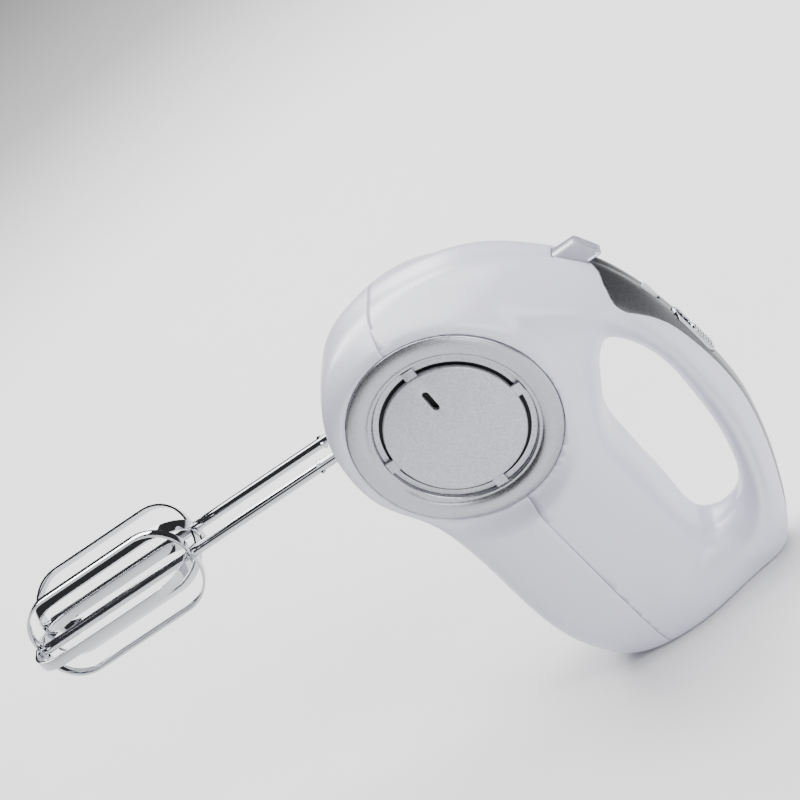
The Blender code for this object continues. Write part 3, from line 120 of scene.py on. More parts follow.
def build_floor():
    bm = bmesh.new()
    bmesh.ops.create_grid(bm, x_segments=1, y_segments=1, size=FLOOR_REACH)
    mesh = bpy.data.meshes.new("floor")
    bm.to_mesh(mesh)
    bm.free()
    floor = bpy.data.objects.new("floor", mesh)
    bpy.context.scene.collection.objects.link(floor)
    mesh.materials.append(FLOOR.material)


# ---- materials ----


class Finish:
    """One Principled material and the nodes that give it its detail, in object coordinates."""

    def __init__(self, name, color, roughness, metallic=0.0):
        self.material = bpy.data.materials.new(name)
        self.material.use_nodes = True
        self.tree = self.material.node_tree
        self.shader = self.tree.nodes["Principled BSDF"]
        self.color = color
        self.set("Base Color", (*color, 1))
        self.set("Roughness", roughness)
        self.set("Metallic", metallic)
        self.roughness = roughness
        self.place = self.tree.nodes.new("ShaderNodeTexCoord").outputs["Object"]

    def set(self, socket, value):
        self.shader.inputs[socket].default_value = value

    def link(self, source, target):
        self.tree.links.new(source, target)

    def noise(self, size, detail=2.0, stretch=None):
        """A noise with features of about the given size, in metres."""
        node = self.tree.nodes.new("ShaderNodeTexNoise")
        node.inputs["Scale"].default_value = 1 / size
        node.inputs["Detail"].default_value = detail
        place = self.place
        if stretch:
            mapping = self.tree.nodes.new("ShaderNodeMapping")
            mapping.inputs["Scale"].default_value = stretch
            self.link(place, mapping.inputs["Vector"])
            place = mapping.outputs["Vector"]
        self.link(place, node.inputs["Vector"])
        return node.outputs["Fac"]

    def grains(self, size):
        """Cells of about the given size, in metres, each with a value of its own."""
        node = self.tree.nodes.new("ShaderNodeTexVoronoi")
        node.inputs["Scale"].default_value = 1 / size
        self.link(self.place, node.inputs["Vector"])
        separate = self.tree.nodes.new("ShaderNodeSeparateColor")
        self.link(node.outputs["Color"], separate.inputs["Color"])
        return separate.outputs["Red"]

    def ramp(self, source, low, high):
        """Takes a value from 0 to 1 to one from low to high."""
        node = self.tree.nodes.new("ShaderNodeMapRange")
        node.inputs["To Min"].default_value = low
        node.inputs["To Max"].default_value = high
        self.link(source, node.inputs["Value"])
        return node.outputs["Result"]

    def vary_roughness(self, source, spread):
        low = max(self.roughness - spread, 0.02)
        self.link(self.ramp(source, low, self.roughness + spread), self.shader.inputs["Roughness"])

    def vary_color(self, source, spread):
        mix = self.tree.nodes.new("ShaderNodeMix")
        mix.data_type = "RGBA"
        mix.inputs["A"].default_value = (*[c * (1 - spread) for c in self.color], 1)
        mix.inputs["B"].default_value = (*[min(c * (1 + spread), 1) for c in self.color], 1)
        self.link(source, mix.inputs["Factor"])
        self.link(mix.outputs["Result"], self.shader.inputs["Base Color"])

    def bump(self, source, height, strength=1.0):
        node = self.tree.nodes.new("ShaderNodeBump")
        node.inputs["Distance"].default_value = height
        node.inputs["Strength"].default_value = strength
        self.link(source, node.inputs["Height"])
        self.link(node.outputs["Normal"], self.shader.inputs["Normal"])


def moulded(name, color, roughness):
    """Moulded plastic: a faint spark-eroded grain and slow changes of gloss."""
    finish = Finish(name, color, roughness)
    finish.vary_roughness(finish.noise(6 * MM), 0.04)
    finish.vary_color(finish.noise(25 * MM), 0.015)
    finish.bump(finish.noise(0.35 * MM, 3), 0.00001, 0.5)
    return finish


def metallic_paint(name, color, roughness, metallic, grain, spread, tumble):
    """Paint with metal flakes: each flake has its own brightness and depth."""
    finish = Finish(name, color, roughness, metallic)
    flakes = finish.grains(grain)
    finish.vary_color(flakes, spread)
    finish.vary_roughness(finish.noise(4 * MM), 0.03)
    finish.bump(flakes, tumble, 0.6)
    finish.set("Coat Weight", 0.25)
    finish.set("Coat Roughness", 0.12)
    return finish


def plated(name, color, roughness):
    """Bright plating with fine polishing marks and faint smears."""
    finish = Finish(name, color, roughness, 1.0)
    finish.vary_roughness(finish.noise(9 * MM, 3), 0.03)
    finish.bump(finish.noise(1.4 * MM, 2, (0.15, 1, 1)), 0.000015, 0.35)
    return finish


def worked_metal(name, color, roughness, stretch):
    """Bare metal with machining lines."""
    finish = Finish(name, color, roughness, 1.0)
    finish.vary_roughness(finish.noise(0.7 * MM, 3, stretch), 0.1)
    finish.vary_color(finish.noise(5 * MM), 0.06)
    finish.bump(finish.noise(0.5 * MM, 2, stretch), 0.00003, 0.5)
    return finish


WIRE_PITCH = 0.8 * MM
WAVE_PHASE = 20  # radians that a wave texture turns through in one unit of length


def wound(name, color):
    """Enamelled wire, in turns WIRE_PITCH apart, with painted shade in the grooves between turns."""
    finish = Finish(name, color, 0.35, 0.9)
    wave = finish.tree.nodes.new("ShaderNodeTexWave")
    wave.bands_direction = "Z"
    wave.inputs["Scale"].default_value = 2 * math.pi / (WAVE_PHASE * WIRE_PITCH)
    wave.inputs["Distortion"].default_value = 0.6
    finish.link(finish.place, wave.inputs["Vector"])
    # The colour follows the turns' height: painted shade in the grooves between turns and painted highlight
    # on their crests.
    finish.vary_color(wave.outputs["Fac"], 0.25)
    finish.bump(wave.outputs["Fac"], 0.00015, 0.8)
    return finish


WHITE = moulded("white_plastic", (0.70, 0.70, 0.81), 0.3)
WHITE.set("Coat Weight", 0.15)
WHITE.set("Coat Roughness", 0.2)
RING = metallic_paint("ring_silver", (0.40, 0.41, 0.44), 0.27, 0.9, 0.22 * MM, 0.05, 0.00002)
DISC = metallic_paint("disc_silver", (0.47, 0.48, 0.52), 0.40, 0.75, 0.45 * MM, 0.16, 0.00005)
PANEL = metallic_paint("gunmetal", (0.09, 0.093, 0.10), 0.34, 0.75, 0.3 * MM, 0.3, 0.00004)
CHROME = plated("chrome", (0.50, 0.51, 0.54), 0.06)
BUTTON = moulded("grey_plastic", (0.58, 0.59, 0.63), 0.4)
DARK = moulded("dark_plastic", (0.045, 0.045, 0.05), 0.5)
# Painted shade: a near-black colour for the sheet that stands in for the shade inside the open vents.
PAINTED_VENT_SHADE = moulded("vent_painted_shade", (0.012, 0.012, 0.014), 0.7)
STEEL = worked_metal("steel", (0.52, 0.52, 0.54), 0.3, (1, 1, 0.1))
BRASS = worked_metal("bronze", (0.72, 0.54, 0.28), 0.32, (1, 0.1, 1))
COPPER = wound("copper", (0.62, 0.27, 0.11))
CARBON = worked_metal("carbon", (0.04, 0.04, 0.04), 0.6, (1, 1, 1))
CARBON.set("Metallic", 0.1)
NYLON = moulded("nylon", (0.84, 0.82, 0.73), 0.5)
NYLON.set("Subsurface Weight", 0.2)
RUBBER = Finish("rubber", (0.03, 0.03, 0.03), 0.8)
RUBBER.bump(RUBBER.noise(0.5 * MM, 4), 0.00006, 0.7)
RUBBER.vary_color(RUBBER.noise(8 * MM), 0.2)
BOARD = Finish("circuit_board", (0.06, 0.22, 0.10), 0.4)
BOARD.vary_color(BOARD.grains(2.2 * MM), 0.3)
BOARD.bump(BOARD.grains(2.2 * MM), 0.00003, 0.6)
CLEAR = moulded("clear_plastic", (0.60, 0.61, 0.70), 0.14)
CLEAR.set("Transmission Weight", 0.55)
CLEAR.set("IOR", 1.49)
MILKY = moulded("milky_plastic", (0.86, 0.86, 0.9), 0.3)
FLOOR = moulded("floor", (0.93, 0.93, 0.94), 0.7)

NODE_FINISHES = (
    (DARK, ("speed_switch", "turbo_switch", "cooling_fan", "gearbox_frame")),
    (BUTTON, ("mains_capacitor",)),
    (STEEL, ("ejector_plate", "eject_spring", "spindle_left", "spindle_right")),
    (STEEL, ("motor_shaft", "armature_core", "motor_stator", "rear_bearing_bracket")),
    (STEEL, ("motor_screw_1", "motor_screw_2", "housing_screw_1", "housing_screw_2", "housing_screw_3")),
    (NYLON, ("spindle_gear_left", "spindle_gear_right")),
    (BRASS, ("spindle_bush_left", "spindle_bush_right", "rear_bearing", "front_bearing")),
    (BRASS, ("brush_holder_left", "brush_holder_right")),
    (COPPER, ("armature_windings", "commutator", "field_coil_left", "field_coil_right", "choke")),
    (CARBON, ("carbon_brush_left", "carbon_brush_right")),
    (RUBBER, ("heel_pad", "cord_gland")),
    (BOARD, ("circuit_board",)),
)


def finish_nodes():
    for finish, names in NODE_FINISHES:
        for name in names:
            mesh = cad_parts[name].data
            mesh.materials.clear()
            mesh.materials.append(finish.material)


# ---- building blocks ----

PIECES = bpy.data.collections.new("pieces")
bpy.context.scene.collection.children.link(PIECES)


def make(name, bm, finish, sharp_degrees=40):
    """Makes a piece from a bmesh, smooth up to the given angle, and frees the bmesh."""
    mesh = bpy.data.meshes.new(name)
    bmesh.ops.recalc_face_normals(bm, faces=bm.faces)
    bm.to_mesh(mesh)
    bm.free()
    mesh.shade_smooth()
    mesh.set_sharp_from_angle(angle=math.radians(sharp_degrees))
    made = bpy.data.objects.new(name, mesh)
    PIECES.objects.link(made)
    mesh.materials.append(finish.material)
    return made


def apply_modifiers(obj):
    """Replaces an object's mesh with its evaluated one, and clears its modifiers."""
    graph = bpy.context.evaluated_depsgraph_get()
    graph.update()
    old = obj.data
    obj.data = bpy.data.meshes.new_from_object(obj.evaluated_get(graph))
    obj.modifiers.clear()
    bpy.data.meshes.remove(old)


def cut(target, bm, operation="DIFFERENCE"):
    """Cuts, joins or intersects a piece with a closed shape."""
    tool = make("tool", bm, DARK)
    step = target.modifiers.new("cut", "BOOLEAN")
    step.operation = operation
    step.solver = "EXACT"
    step.object = tool
    apply_modifiers(target)
    bpy.data.objects.remove(tool)


def soften(obj, width, segments=3, angle=40):
    """Rounds an object's sharp edges."""
    step = obj.modifiers.new("soft_edges", "BEVEL")
    step.width = width
    step.segments = segments
    step.limit_method = "ANGLE"
    step.angle_limit = math.radians(angle)
    step.harden_normals = False
    apply_modifiers(obj)
    obj.data.shade_smooth()
    obj.data.set_sharp_from_angle(angle=math.radians(50))


def show(piece, body, *nodes, slot):
    """Rides a piece on a body, in place of any nodes named; slot is not used."""
    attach(piece, body)
    if nodes:
        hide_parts(*nodes)


def facing(direction, side=(0, 1, 0)):
    """Rotation that takes Z to direction and X as close to side as it can."""
    along = Vector(direction).normalized()
    across = (Vector(side) - along * along.dot(Vector(side))).normalized()
    return Matrix((across, along.cross(across), along)).transposed()


def placed(bm, centre, turn):
    bmesh.ops.transform(bm, matrix=Matrix.Translation(centre) @ turn.to_4x4(), verts=bm.verts)
    return bm


def cylinder(radius, start, end, segments=96):
    start, end = Vector(start), Vector(end)
    bm = bmesh.new()
    bmesh.ops.create_cone(
        bm, cap_ends=True, segments=segments, radius1=radius, radius2=radius, depth=(end - start).length
    )
    return placed(bm, (start + end) / 2, facing(end - start))


def box(size, centre, turn):
    bm = bmesh.new()
    bmesh.ops.create_cube(bm, size=1, matrix=Matrix.Diagonal((*size, 1)))
    return placed(bm, centre, turn)


def prism(outline, half_height, centre, turn):
    """An outline in X and Y, drawn out both ways along Z."""
    bm = bmesh.new()
    low = [bm.verts.new((x, y, -half_height)) for x, y in outline]
    high = [bm.verts.new((x, y, half_height)) for x, y in outline]
    count = len(outline)
    for i in range(count):
        after = (i + 1) % count
        bm.faces.new((low[i], low[after], high[after], high[i]))
    bm.faces.new(low[::-1])
    bm.faces.new(high)
    return placed(bm, centre, turn)


def arc(centre, radius, start, end, count):
    """Points along an arc, between two angles in degrees."""
    for i in range(count + 1):
        angle = math.radians(start + (end - start) * i / count)
        yield centre[0] + radius * math.cos(angle), centre[1] + radius * math.sin(angle)


def lozenge(length, width, end_width=None, count=16):
    """A slot's outline along X, which may taper towards -X."""
    radius = width / 2
    tail = (end_width or width) / 2
    reach = length / 2
    points = list(arc((reach - radius, 0), radius, -90, 90, count))
    return points + list(arc((tail - reach, 0), tail, 90, 270, count))


def turned(name, profile, centre, axis, finish, steps=160, closed=True, sharp=40):
    """A profile of (radius, height) turned about an axis."""
    bm = bmesh.new()
    rings = []
    for radius, height in profile:
        if radius == 0:
            rings.append([bm.verts.new((0, 0, height))] * steps)
            continue
        angles = [2 * math.pi * i / steps for i in range(steps)]
        rings.append([bm.verts.new((radius * math.cos(a), radius * math.sin(a), height)) for a in angles])
    pairs = list(zip(rings, rings[1:]))
    if closed:
        pairs.append((rings[-1], rings[0]))
    for ring, following in pairs:
        for i in range(steps):
            after = (i + 1) % steps
            corners = dict.fromkeys((ring[i], ring[after], following[after], following[i]))
            if len(corners) > 2:
                bm.faces.new(tuple(corners))
    return make(name, placed(bm, centre, facing(axis)), finish, sharp)


def smooth_curve(points, steps):
    """Points on the Catmull-Rom curve through the given ones."""
    given = [np.array(point, float) for point in points]
    padded = [2 * given[0] - given[1], *given, 2 * given[-1] - given[-2]]
    made = []
    for a, b, c, d in zip(padded, padded[1:], padded[2:], padded[3:]):
        for i in range(steps):
            t = i / steps
            square, cube = 2 * a - 5 * b + 4 * c - d, 3 * b - a - 3 * c + d
            made.append(0.5 * (2 * b + (c - a) * t + square * t**2 + cube * t**3))
    return made + [given[-1]]


# ---- body skin ----

SEAM_FOOT_X = -11.2 * MM
SEAM_LEAN = 0.0887
SEAM_HALF_GAP = 0.12 * MM
HEEL_Z = -2.7 * MM
SKIN_LEVELS = 3

# The sections that the skin passes through, round the handle's opening. Each has its outer and
# inner points (x, z, x, z), then the half widths and corners: outer width, outer corner, middle
# width, inner width, inner corner.
SECTIONS = (
    (48.5, 146, 41, 113.5, 20, 12, 24, 18, 9),
    (56.8, 133.5, 46, 107.5, 16.5, 10, 17.5, 15, 8),
    (62.3, 119.7, 50, 99, 14.5, 9, 15.5, 14, 8),
    (66.3, 103, 52.6, 88, 14, 8.5, 15, 13.5, 8),
    (68.8, 84, 53.3, 75, 14, 8.5, 15, 13.5, 8),
    (69.8, 66, 53.3, 60, 14, 8.5, 15, 14, 8),
    (67.8, 49, 51.8, 47, 14, 8.5, 15, 14.5, 8),
    (63.6, 32, 48.8, 35.5, 14.5, 9, 15.5, 15, 8),
    (58, 16.5, 44, 27, 14.5, 9, 16.5, 16, 8),
    (52, 5, 38.2, 22.8, 14.5, 8, 17.5, 17.5, 8),
    (43.5, -3.5, 32.5, 21.2, 13.5, 6, 19, 19, 8),
    (29, -4, 27.5, 21.4, 18, 6, 22, 21, 8),
    (4, -4, 23.3, 24.6, 26, 6, 27, 22, 8),
    (-23.5, -3.5, 21.8, 32.5, 27, 10, 29.5, 23, 9),
    (-36, 5.5, 21.1, 42, 28.5, 12, 30, 25, 9),
    (-42.5, 19, 20.6, 51, 29.5, 10, 31.5, 26, 10),
    (-48, 38, 20, 58.5, 30, 10, 32, 27, 11),
    (-51, 62, 19.3, 67, 30, 10, 32.5, 28, 11),
    (-54, 84, 18.6, 75, 30, 9, 33, 29, 11),
    (-59, 100, 19.2, 81, 30, 8, 33, 30, 12),
    (-67.5, 115, 20.5, 85.5, 30, 8, 33.5, 30.5, 13),
    (-70, 133.5, 22, 89.5, 30, 8, 34, 31, 14),
    (-66.5, 152, 24, 93, 31, 9, 34.5, 31, 14.5),
    (-55, 168.5, 26.5, 97.5, 31, 12, 35, 31, 15),
    (-34, 176.8, 29, 102, 31, 14, 35.5, 30.5, 16),
    (-9, 176.8, 31.5, 106.5, 31, 15, 35, 29, 16),
    (15, 170.8, 34.5, 110.5, 29, 15, 32, 26, 14),
    (33, 160, 37.5, 113, 25, 14, 28, 22, 11),
)
CORNER_DROP = 0.06
CORNER_SHARE = 0.28
SEAT_CENTRE = Vector((-22.8, 31.5, 126.7)) * MM
SEAT_NORMAL = Vector((-0.079, 0.991, -0.106)).normalized()
SEAT_BLEND = 8.0 * MM
SEAT_REACH = 9.0 * MM
RING_RADIUS = 41.6 * MM
RING_LIP_RADIUS = 31.8 * MM
DISC_RADIUS = 27.7 * MM
BEATER_SPACING = 22.0 * MM
BEATER_Z = 136.5 * MM
NOSE_X = -67.0 * MM
SPINDLE_MOUTH_RADIUS = 4.1 * MM
SPINDLE_MOUTH_OUT = 10.0 * MM
SPINDLE_MOUTH_IN = 15.0 * MM
GLAND_CENTRE = Vector((-38.5, 0, 18)) * MM
GLAND_OUT = Vector((-0.878, 0, -0.479)).normalized()
GLAND_HOLE_RADIUS = 5.3 * MM
SCREW_PLACES = ((20, 27.4), (-20, 27.4), (0, 163))
SCREW_HOLE_RADIUS = 3.1 * MM
SCREW_DEPTH = 12.0 * MM  # from the seam to where the holes in the shell start
SCREW_REACH = 60.0 * MM


def section_points(section):
    """Points round one section, rounder at its corners than between them."""
    outer = np.array(section[0:2])
    inner = np.array(section[2:4])
    outer_width, outer_corner, middle_width, inner_width, inner_corner = section[4:]
    length = np.linalg.norm(inner - outer)
    outer_depth = min(outer_corner, CORNER_SHARE * length)
    inner_depth = min(inner_corner, CORNER_SHARE * length)
    rows = (
        (0, 0),
        (CORNER_DROP * outer_corner, outer_width - outer_corner),
        (outer_depth, outer_width),
        ((length + outer_depth - inner_depth) / 2, middle_width),
        (length - inner_depth, inner_width),
        (length - CORNER_DROP * inner_corner, inner_width - inner_corner),
        (length, 0),
    )
    mirrored = [(depth, -width) for depth, width in rows[-2:0:-1]]
    places = [(outer + (inner - outer) * depth / length, width) for depth, width in (*rows, *mirrored)]
    return [(place[0] * MM, width * MM, place[1] * MM) for place, width in places]


def control_points(points, axis):
    """Control points of the smooth closed curves that pass through the given points."""
    identity = np.eye(points.shape[axis])
    weights = (4 * identity + np.roll(identity, 1, axis=0) + np.roll(identity, -1, axis=0)) / 6
    solved = np.tensordot(np.linalg.inv(weights), points, axes=(1, axis))
    return np.moveaxis(solved, 0, axis)


def smooth_step(value):
    value = min(max(value, 0.0), 1.0)
    return value * value * (3 - 2 * value)


def side_vector(vector, side):
    """A vector given for the left side, as it is on the given one."""
    return Vector((vector.x, side * vector.y, vector.z))


def body_skin():
    """The whole body's outer surface, drawn flat where each ring sits and cut level at the heel."""
    points = np.array([section_points(section) for section in SECTIONS])
    points = control_points(control_points(points, 0), 1)
    rings, rows = points.shape[:2]
    bm = bmesh.new()
    verts = [[bm.verts.new(point) for point in ring] for ring in points]
    for i in range(rings):
        following = verts[(i + 1) % rings]
        for j in range(rows):
            after = (j + 1) % rows
            bm.faces.new((verts[i][j], verts[i][after], following[after], following[j]))
    cage = make("cage", bm, WHITE)
    step = cage.modifiers.new("smooth", "SUBSURF")
    step.levels = SKIN_LEVELS
    step.render_levels = SKIN_LEVELS
    apply_modifiers(cage)
    bm = bmesh.new()
    bm.from_mesh(cage.data)
    bpy.data.objects.remove(cage)
    for vert in bm.verts:
        side = 1 if vert.co.y > 0 else -1
        normal = side_vector(SEAT_NORMAL, side)
        offset = vert.co - side_vector(SEAT_CENTRE, side)
        height = offset.dot(normal)
        distance = (offset - normal * height).length
        if abs(vert.co.y) > SEAT_CENTRE.y / 2:
            share = 1 - smooth_step((distance - RING_RADIUS - GAP) / SEAT_BLEND)
            vert.co.y -= share * height / normal.y
        vert.co.z = max(vert.co.z, HEEL_Z)
        vert.co += DATUM
    return bm


def half_shell(name, skin, side, finish, wall=WALL, inset=0.0):
    """The skin on one side of the seam, as a shell: side is 1 for the handle's half."""
    bm = skin.copy()
    normal = Vector((side, 0, side * SEAM_LEAN)).normalized()
    start = Vector((SEAM_FOOT_X + SEAM_LEAN * DATUM.z, 0, 0)) + normal * SEAM_HALF_GAP
    everything = bm.verts[:] + bm.edges[:] + bm.faces[:]
    bmesh.ops.bisect_plane(bm, geom=everything, plane_co=start, plane_no=normal, clear_inner=True, dist=1e-6)
    if inset:
        bm.normal_update()
        for vert, move in [(vert, vert.normal * -inset) for vert in bm.verts]:
            vert.co += move
    shell = make(name, bm, finish)
    step = shell.modifiers.new("wall", "SOLIDIFY")
    step.thickness = wall
    step.offset = -1
    apply_modifiers(shell)
    return shell


def cut_seats(shell):
    for side in SIDES.values():
        centre = side_vector(SEAT_CENTRE, side) + DATUM
        reach = side_vector(SEAT_NORMAL, side) * SEAT_REACH
        cut(shell, cylinder(RING_RADIUS + GAP, centre - reach, centre + reach, 192))


def build_lower(skin):
    shell = half_shell("lower_shell", skin, -1, WHITE)
    cut_seats(shell)
    for side in SIDES.values():
        place = Vector((NOSE_X, side * BEATER_SPACING / 2, BEATER_Z)) + DATUM
        outer = place - Vector((SPINDLE_MOUTH_OUT, 0, 0))
        inner = place + Vector((SPINDLE_MOUTH_IN, 0, 0))
        cut(shell, cylinder(SPINDLE_MOUTH_RADIUS, outer, inner))
    out = GLAND_OUT * THROUGH
    centre = GLAND_CENTRE + DATUM
    cut(shell, cylinder(GLAND_HOLE_RADIUS, centre - out, centre + out))
    for y, z in SCREW_PLACES:
        seam = SEAM_FOOT_X - SEAM_LEAN * z * MM
        place = Vector((seam - SCREW_DEPTH, y * MM, z * MM)) + DATUM
        cut(shell, cylinder(SCREW_HOLE_RADIUS, place, place - Vector((SCREW_REACH, 0, 0)), 48))
    show(shell, "body", "lower_housing", slot="white_plastic")


# ---- handle panel ----

# The panel's middle line down the handle's back, with its half width: x, z, half width.
PANEL_BAND = (
    (51.3, 141.5, 3),
    (53.6, 138.5, 8),
    (55.4, 135.5, 13.2),
    (57.6, 131.5, 17),
    (59.7, 126.5, 17.4),
    (62.0, 120, 15.4),
    (64.1, 113, 12.6),
    (66.2, 103, 9.6),
    (68.8, 84, 6.6),
    (69.8, 66, 5.8),
    (67.8, 49, 5.8),
    (63.6, 32, 6.2),
    (58, 16.5, 6.0),
    (54, 8.5, 4.5),
    (51.2, 4, 2.2),
)
BAND_DEPTH = 7.0 * MM
BAND_PROUD = 4.0 * MM
BAND_STEPS = 8
PANEL_GAP = 0.2 * MM
PANEL_WALL = 1.8 * MM
PANEL_SUNK = 0.1 * MM
TURBO_CENTRE = Vector((63.1, 0, 117.4)) * MM + DATUM
TURBO_OUT = Vector((0.972, 0, 0.233)).normalized()
TURBO_LENGTH = 8.0 * MM
TURBO_WIDTH = 5.0 * MM
TURBO_TAIL_WIDTH = 2.6 * MM
TURBO_HALF = 2.5 * MM
TURBO_PROUD = 0.9 * MM
SLIDER_CENTRE = Vector((67.55, 0, 94)) * MM + DATUM
SLIDER_OUT = Vector((0.991, 0, 0.13)).normalized()
BEZEL_LENGTH = 24.0 * MM
BEZEL_WIDTH = 8.0 * MM
BEZEL_RIM = 2.2 * MM  # both sides together
BEZEL_HALF = 1.7 * MM
BEZEL_PROUD = 0.9 * MM
GRIP_LENGTH = 13.0 * MM
GRIP_HALF = 2.5 * MM
GRIP_PROUD = 1.6 * MM
GRIP_GROOVES = 7
GRIP_PITCH = 1.5 * MM
GRIP_GROOVE = (0.6 * MM, 10.0 * MM, 1.0 * MM)
TRAY_INSET = 2.3 * MM  # both sides together
TRAY_HALF = 0.3 * MM
TRAY_DEPTH = 4.6 * MM
EJECT_Z = 147.2 * MM + DATUM.z
EJECT_HEIGHT = 10.0 * MM
EJECT_WIDTH = 9.0 * MM
EJECT_BACK = 30.0 * MM
EJECT_TOP_LOW = 58.3 * MM
EJECT_TOP_HIGH = 52.3 * MM
EJECT_WALL = 1.7 * MM
EJECT_OUT_REACH = 10.0 * MM
EJECT_WINDOW = (8.2 * MM, 6.0 * MM, 0.9 * MM)
EJECT_FLANGE = (2.8 * MM, 13.0 * MM, 13.0 * MM)
EJECT_FLANGE_X = 29.6 * MM


def band_cutter(margin):
    """The strip round the handle's back that the panel fills, wider by margin all round."""
    bm = bmesh.new()
    curve = smooth_curve(PANEL_BAND, BAND_STEPS)
    points = [Vector((x, 0, z)) * MM + DATUM for x, z, _ in curve]
    rings = []
    for i, (_, _, width) in enumerate(curve):
        before = points[max(i - 1, 0)]
        after = points[min(i + 1, len(points) - 1)]
        along = (after - before).normalized()
        outward = Vector((-along.z, 0, along.x))
        centre = points[i] + along * margin * ((i == len(points) - 1) - (i == 0))
        half = Vector((0, max(width, 1) * MM + margin, 0))
        low, high = centre - outward * BAND_DEPTH, centre + outward * BAND_PROUD
        rings.append([bm.verts.new(corner) for corner in (low + half, low - half, high - half, high + half)])
    for ring, following in zip(rings, rings[1:]):
        for j in range(4):
            bm.faces.new((ring[j], ring[(j + 1) % 4], following[(j + 1) % 4], following[j]))
    bm.faces.new(rings[0])
    bm.faces.new(rings[-1][::-1])
    return bm


def eject_outline(reach, grow):
    """The eject button's side view, from inside the shell out to its sloping top."""
    low, high = EJECT_Z - EJECT_HEIGHT / 2 - grow, EJECT_Z + EJECT_HEIGHT / 2 + grow
    top = [(EJECT_TOP_LOW + reach, low), (EJECT_TOP_HIGH + reach, high)]
    return [(EJECT_BACK, low), *top, (EJECT_BACK, high)]


def build_upper(skin):
    shell = half_shell("upper_shell", skin, 1, WHITE)
    cut_seats(shell)
    cut(shell, band_cutter(PANEL_GAP))
    turn = facing((0, -1, 0), (1, 0, 0))
    mouth = eject_outline(EJECT_OUT_REACH, GAP)
    cut(shell, prism(mouth, EJECT_WIDTH / 2 + GAP, (0, 0, 0), turn))
    show(shell, "body", "upper_housing", slot="white_plastic")
    return shell


def along_of(out):
    """The direction along the handle, for a face that looks along out."""
    return out.cross(Vector((0, 1, 0)))


def build_panel(skin):
    panel = half_shell("panel_skin", skin, 1, PANEL, PANEL_WALL, PANEL_SUNK)
    cut(panel, band_cutter(0), "INTERSECT")
    for length, width, centre, out in (
        (BEZEL_LENGTH, BEZEL_WIDTH, SLIDER_CENTRE, SLIDER_OUT),
        (TURBO_LENGTH, TURBO_WIDTH, TURBO_CENTRE, TURBO_OUT),
    ):
        hole = lozenge(length + 2 * GAP, width + 2 * GAP)
        cut(panel, prism(hole, THROUGH, centre, facing(out, along_of(out))))
    show(panel, "body", "handle_panel", slot="panel")


# ---- rings and discs ----

RING_LIP = 1.7 * MM
RING_FOOT = 0.5 * MM
RING_TOP = 1.7 * MM
RING_STEPS = 24
SPOKE_WIDTH = 5.0 * MM
SPOKE_THICKNESS = 1.3 * MM
SPOKE_SUNK = 0.5 * MM
SLOT_PLACE = 15.7 * MM
SLOT_LENGTH = 9.5 * MM
SLOT_WIDTH = 2.9 * MM
GROOVE_MARGIN = 1.5 * MM  # of open vent beside the disc
GROOVE_TOP = -1.5 * MM
GROOVE_BASE = -2.3 * MM
VENT_TOP = -3.0 * MM
VENT_BASE = -3.6 * MM


def build_ring(name, side):
    """The silver ring: a flat crest, rolled edges and a bright inner lip over the groove."""
    inner, outer = RING_LIP_RADIUS, RING_RADIUS
    profile = [(outer, -2.5 * MM), (inner - 0.2 * MM, -2.5 * MM), (inner - 0.2 * MM, -1.2 * MM)]
    profile += [(inner, -0.3 * MM), (inner + 0.3 * MM, 0.15 * MM), (inner + 0.9 * MM, 0.25 * MM)]
    profile += [(inner + 1.3 * MM, 0.2 * MM), (inner + RING_LIP, RING_FOOT)]
    width = outer - inner - RING_LIP
    for i in range(1, RING_STEPS):
        share = i / RING_STEPS
        height = RING_FOOT + (RING_TOP - RING_FOOT) * math.sin(math.pi * share**0.85) ** 0.75
        profile.append((inner + RING_LIP + width * share, height))
    profile.append((outer - 0.15 * MM, 0.35 * MM))
    profile.append((outer, 0.1 * MM))
    centre = side_vector(SEAT_CENTRE, side) + DATUM
    ring = turned(f"ring_{name}", profile, centre, side_vector(SEAT_NORMAL, side), RING, 192, sharp=55)
    show(ring, "body", f"side_ring_{name}", slot="ring")


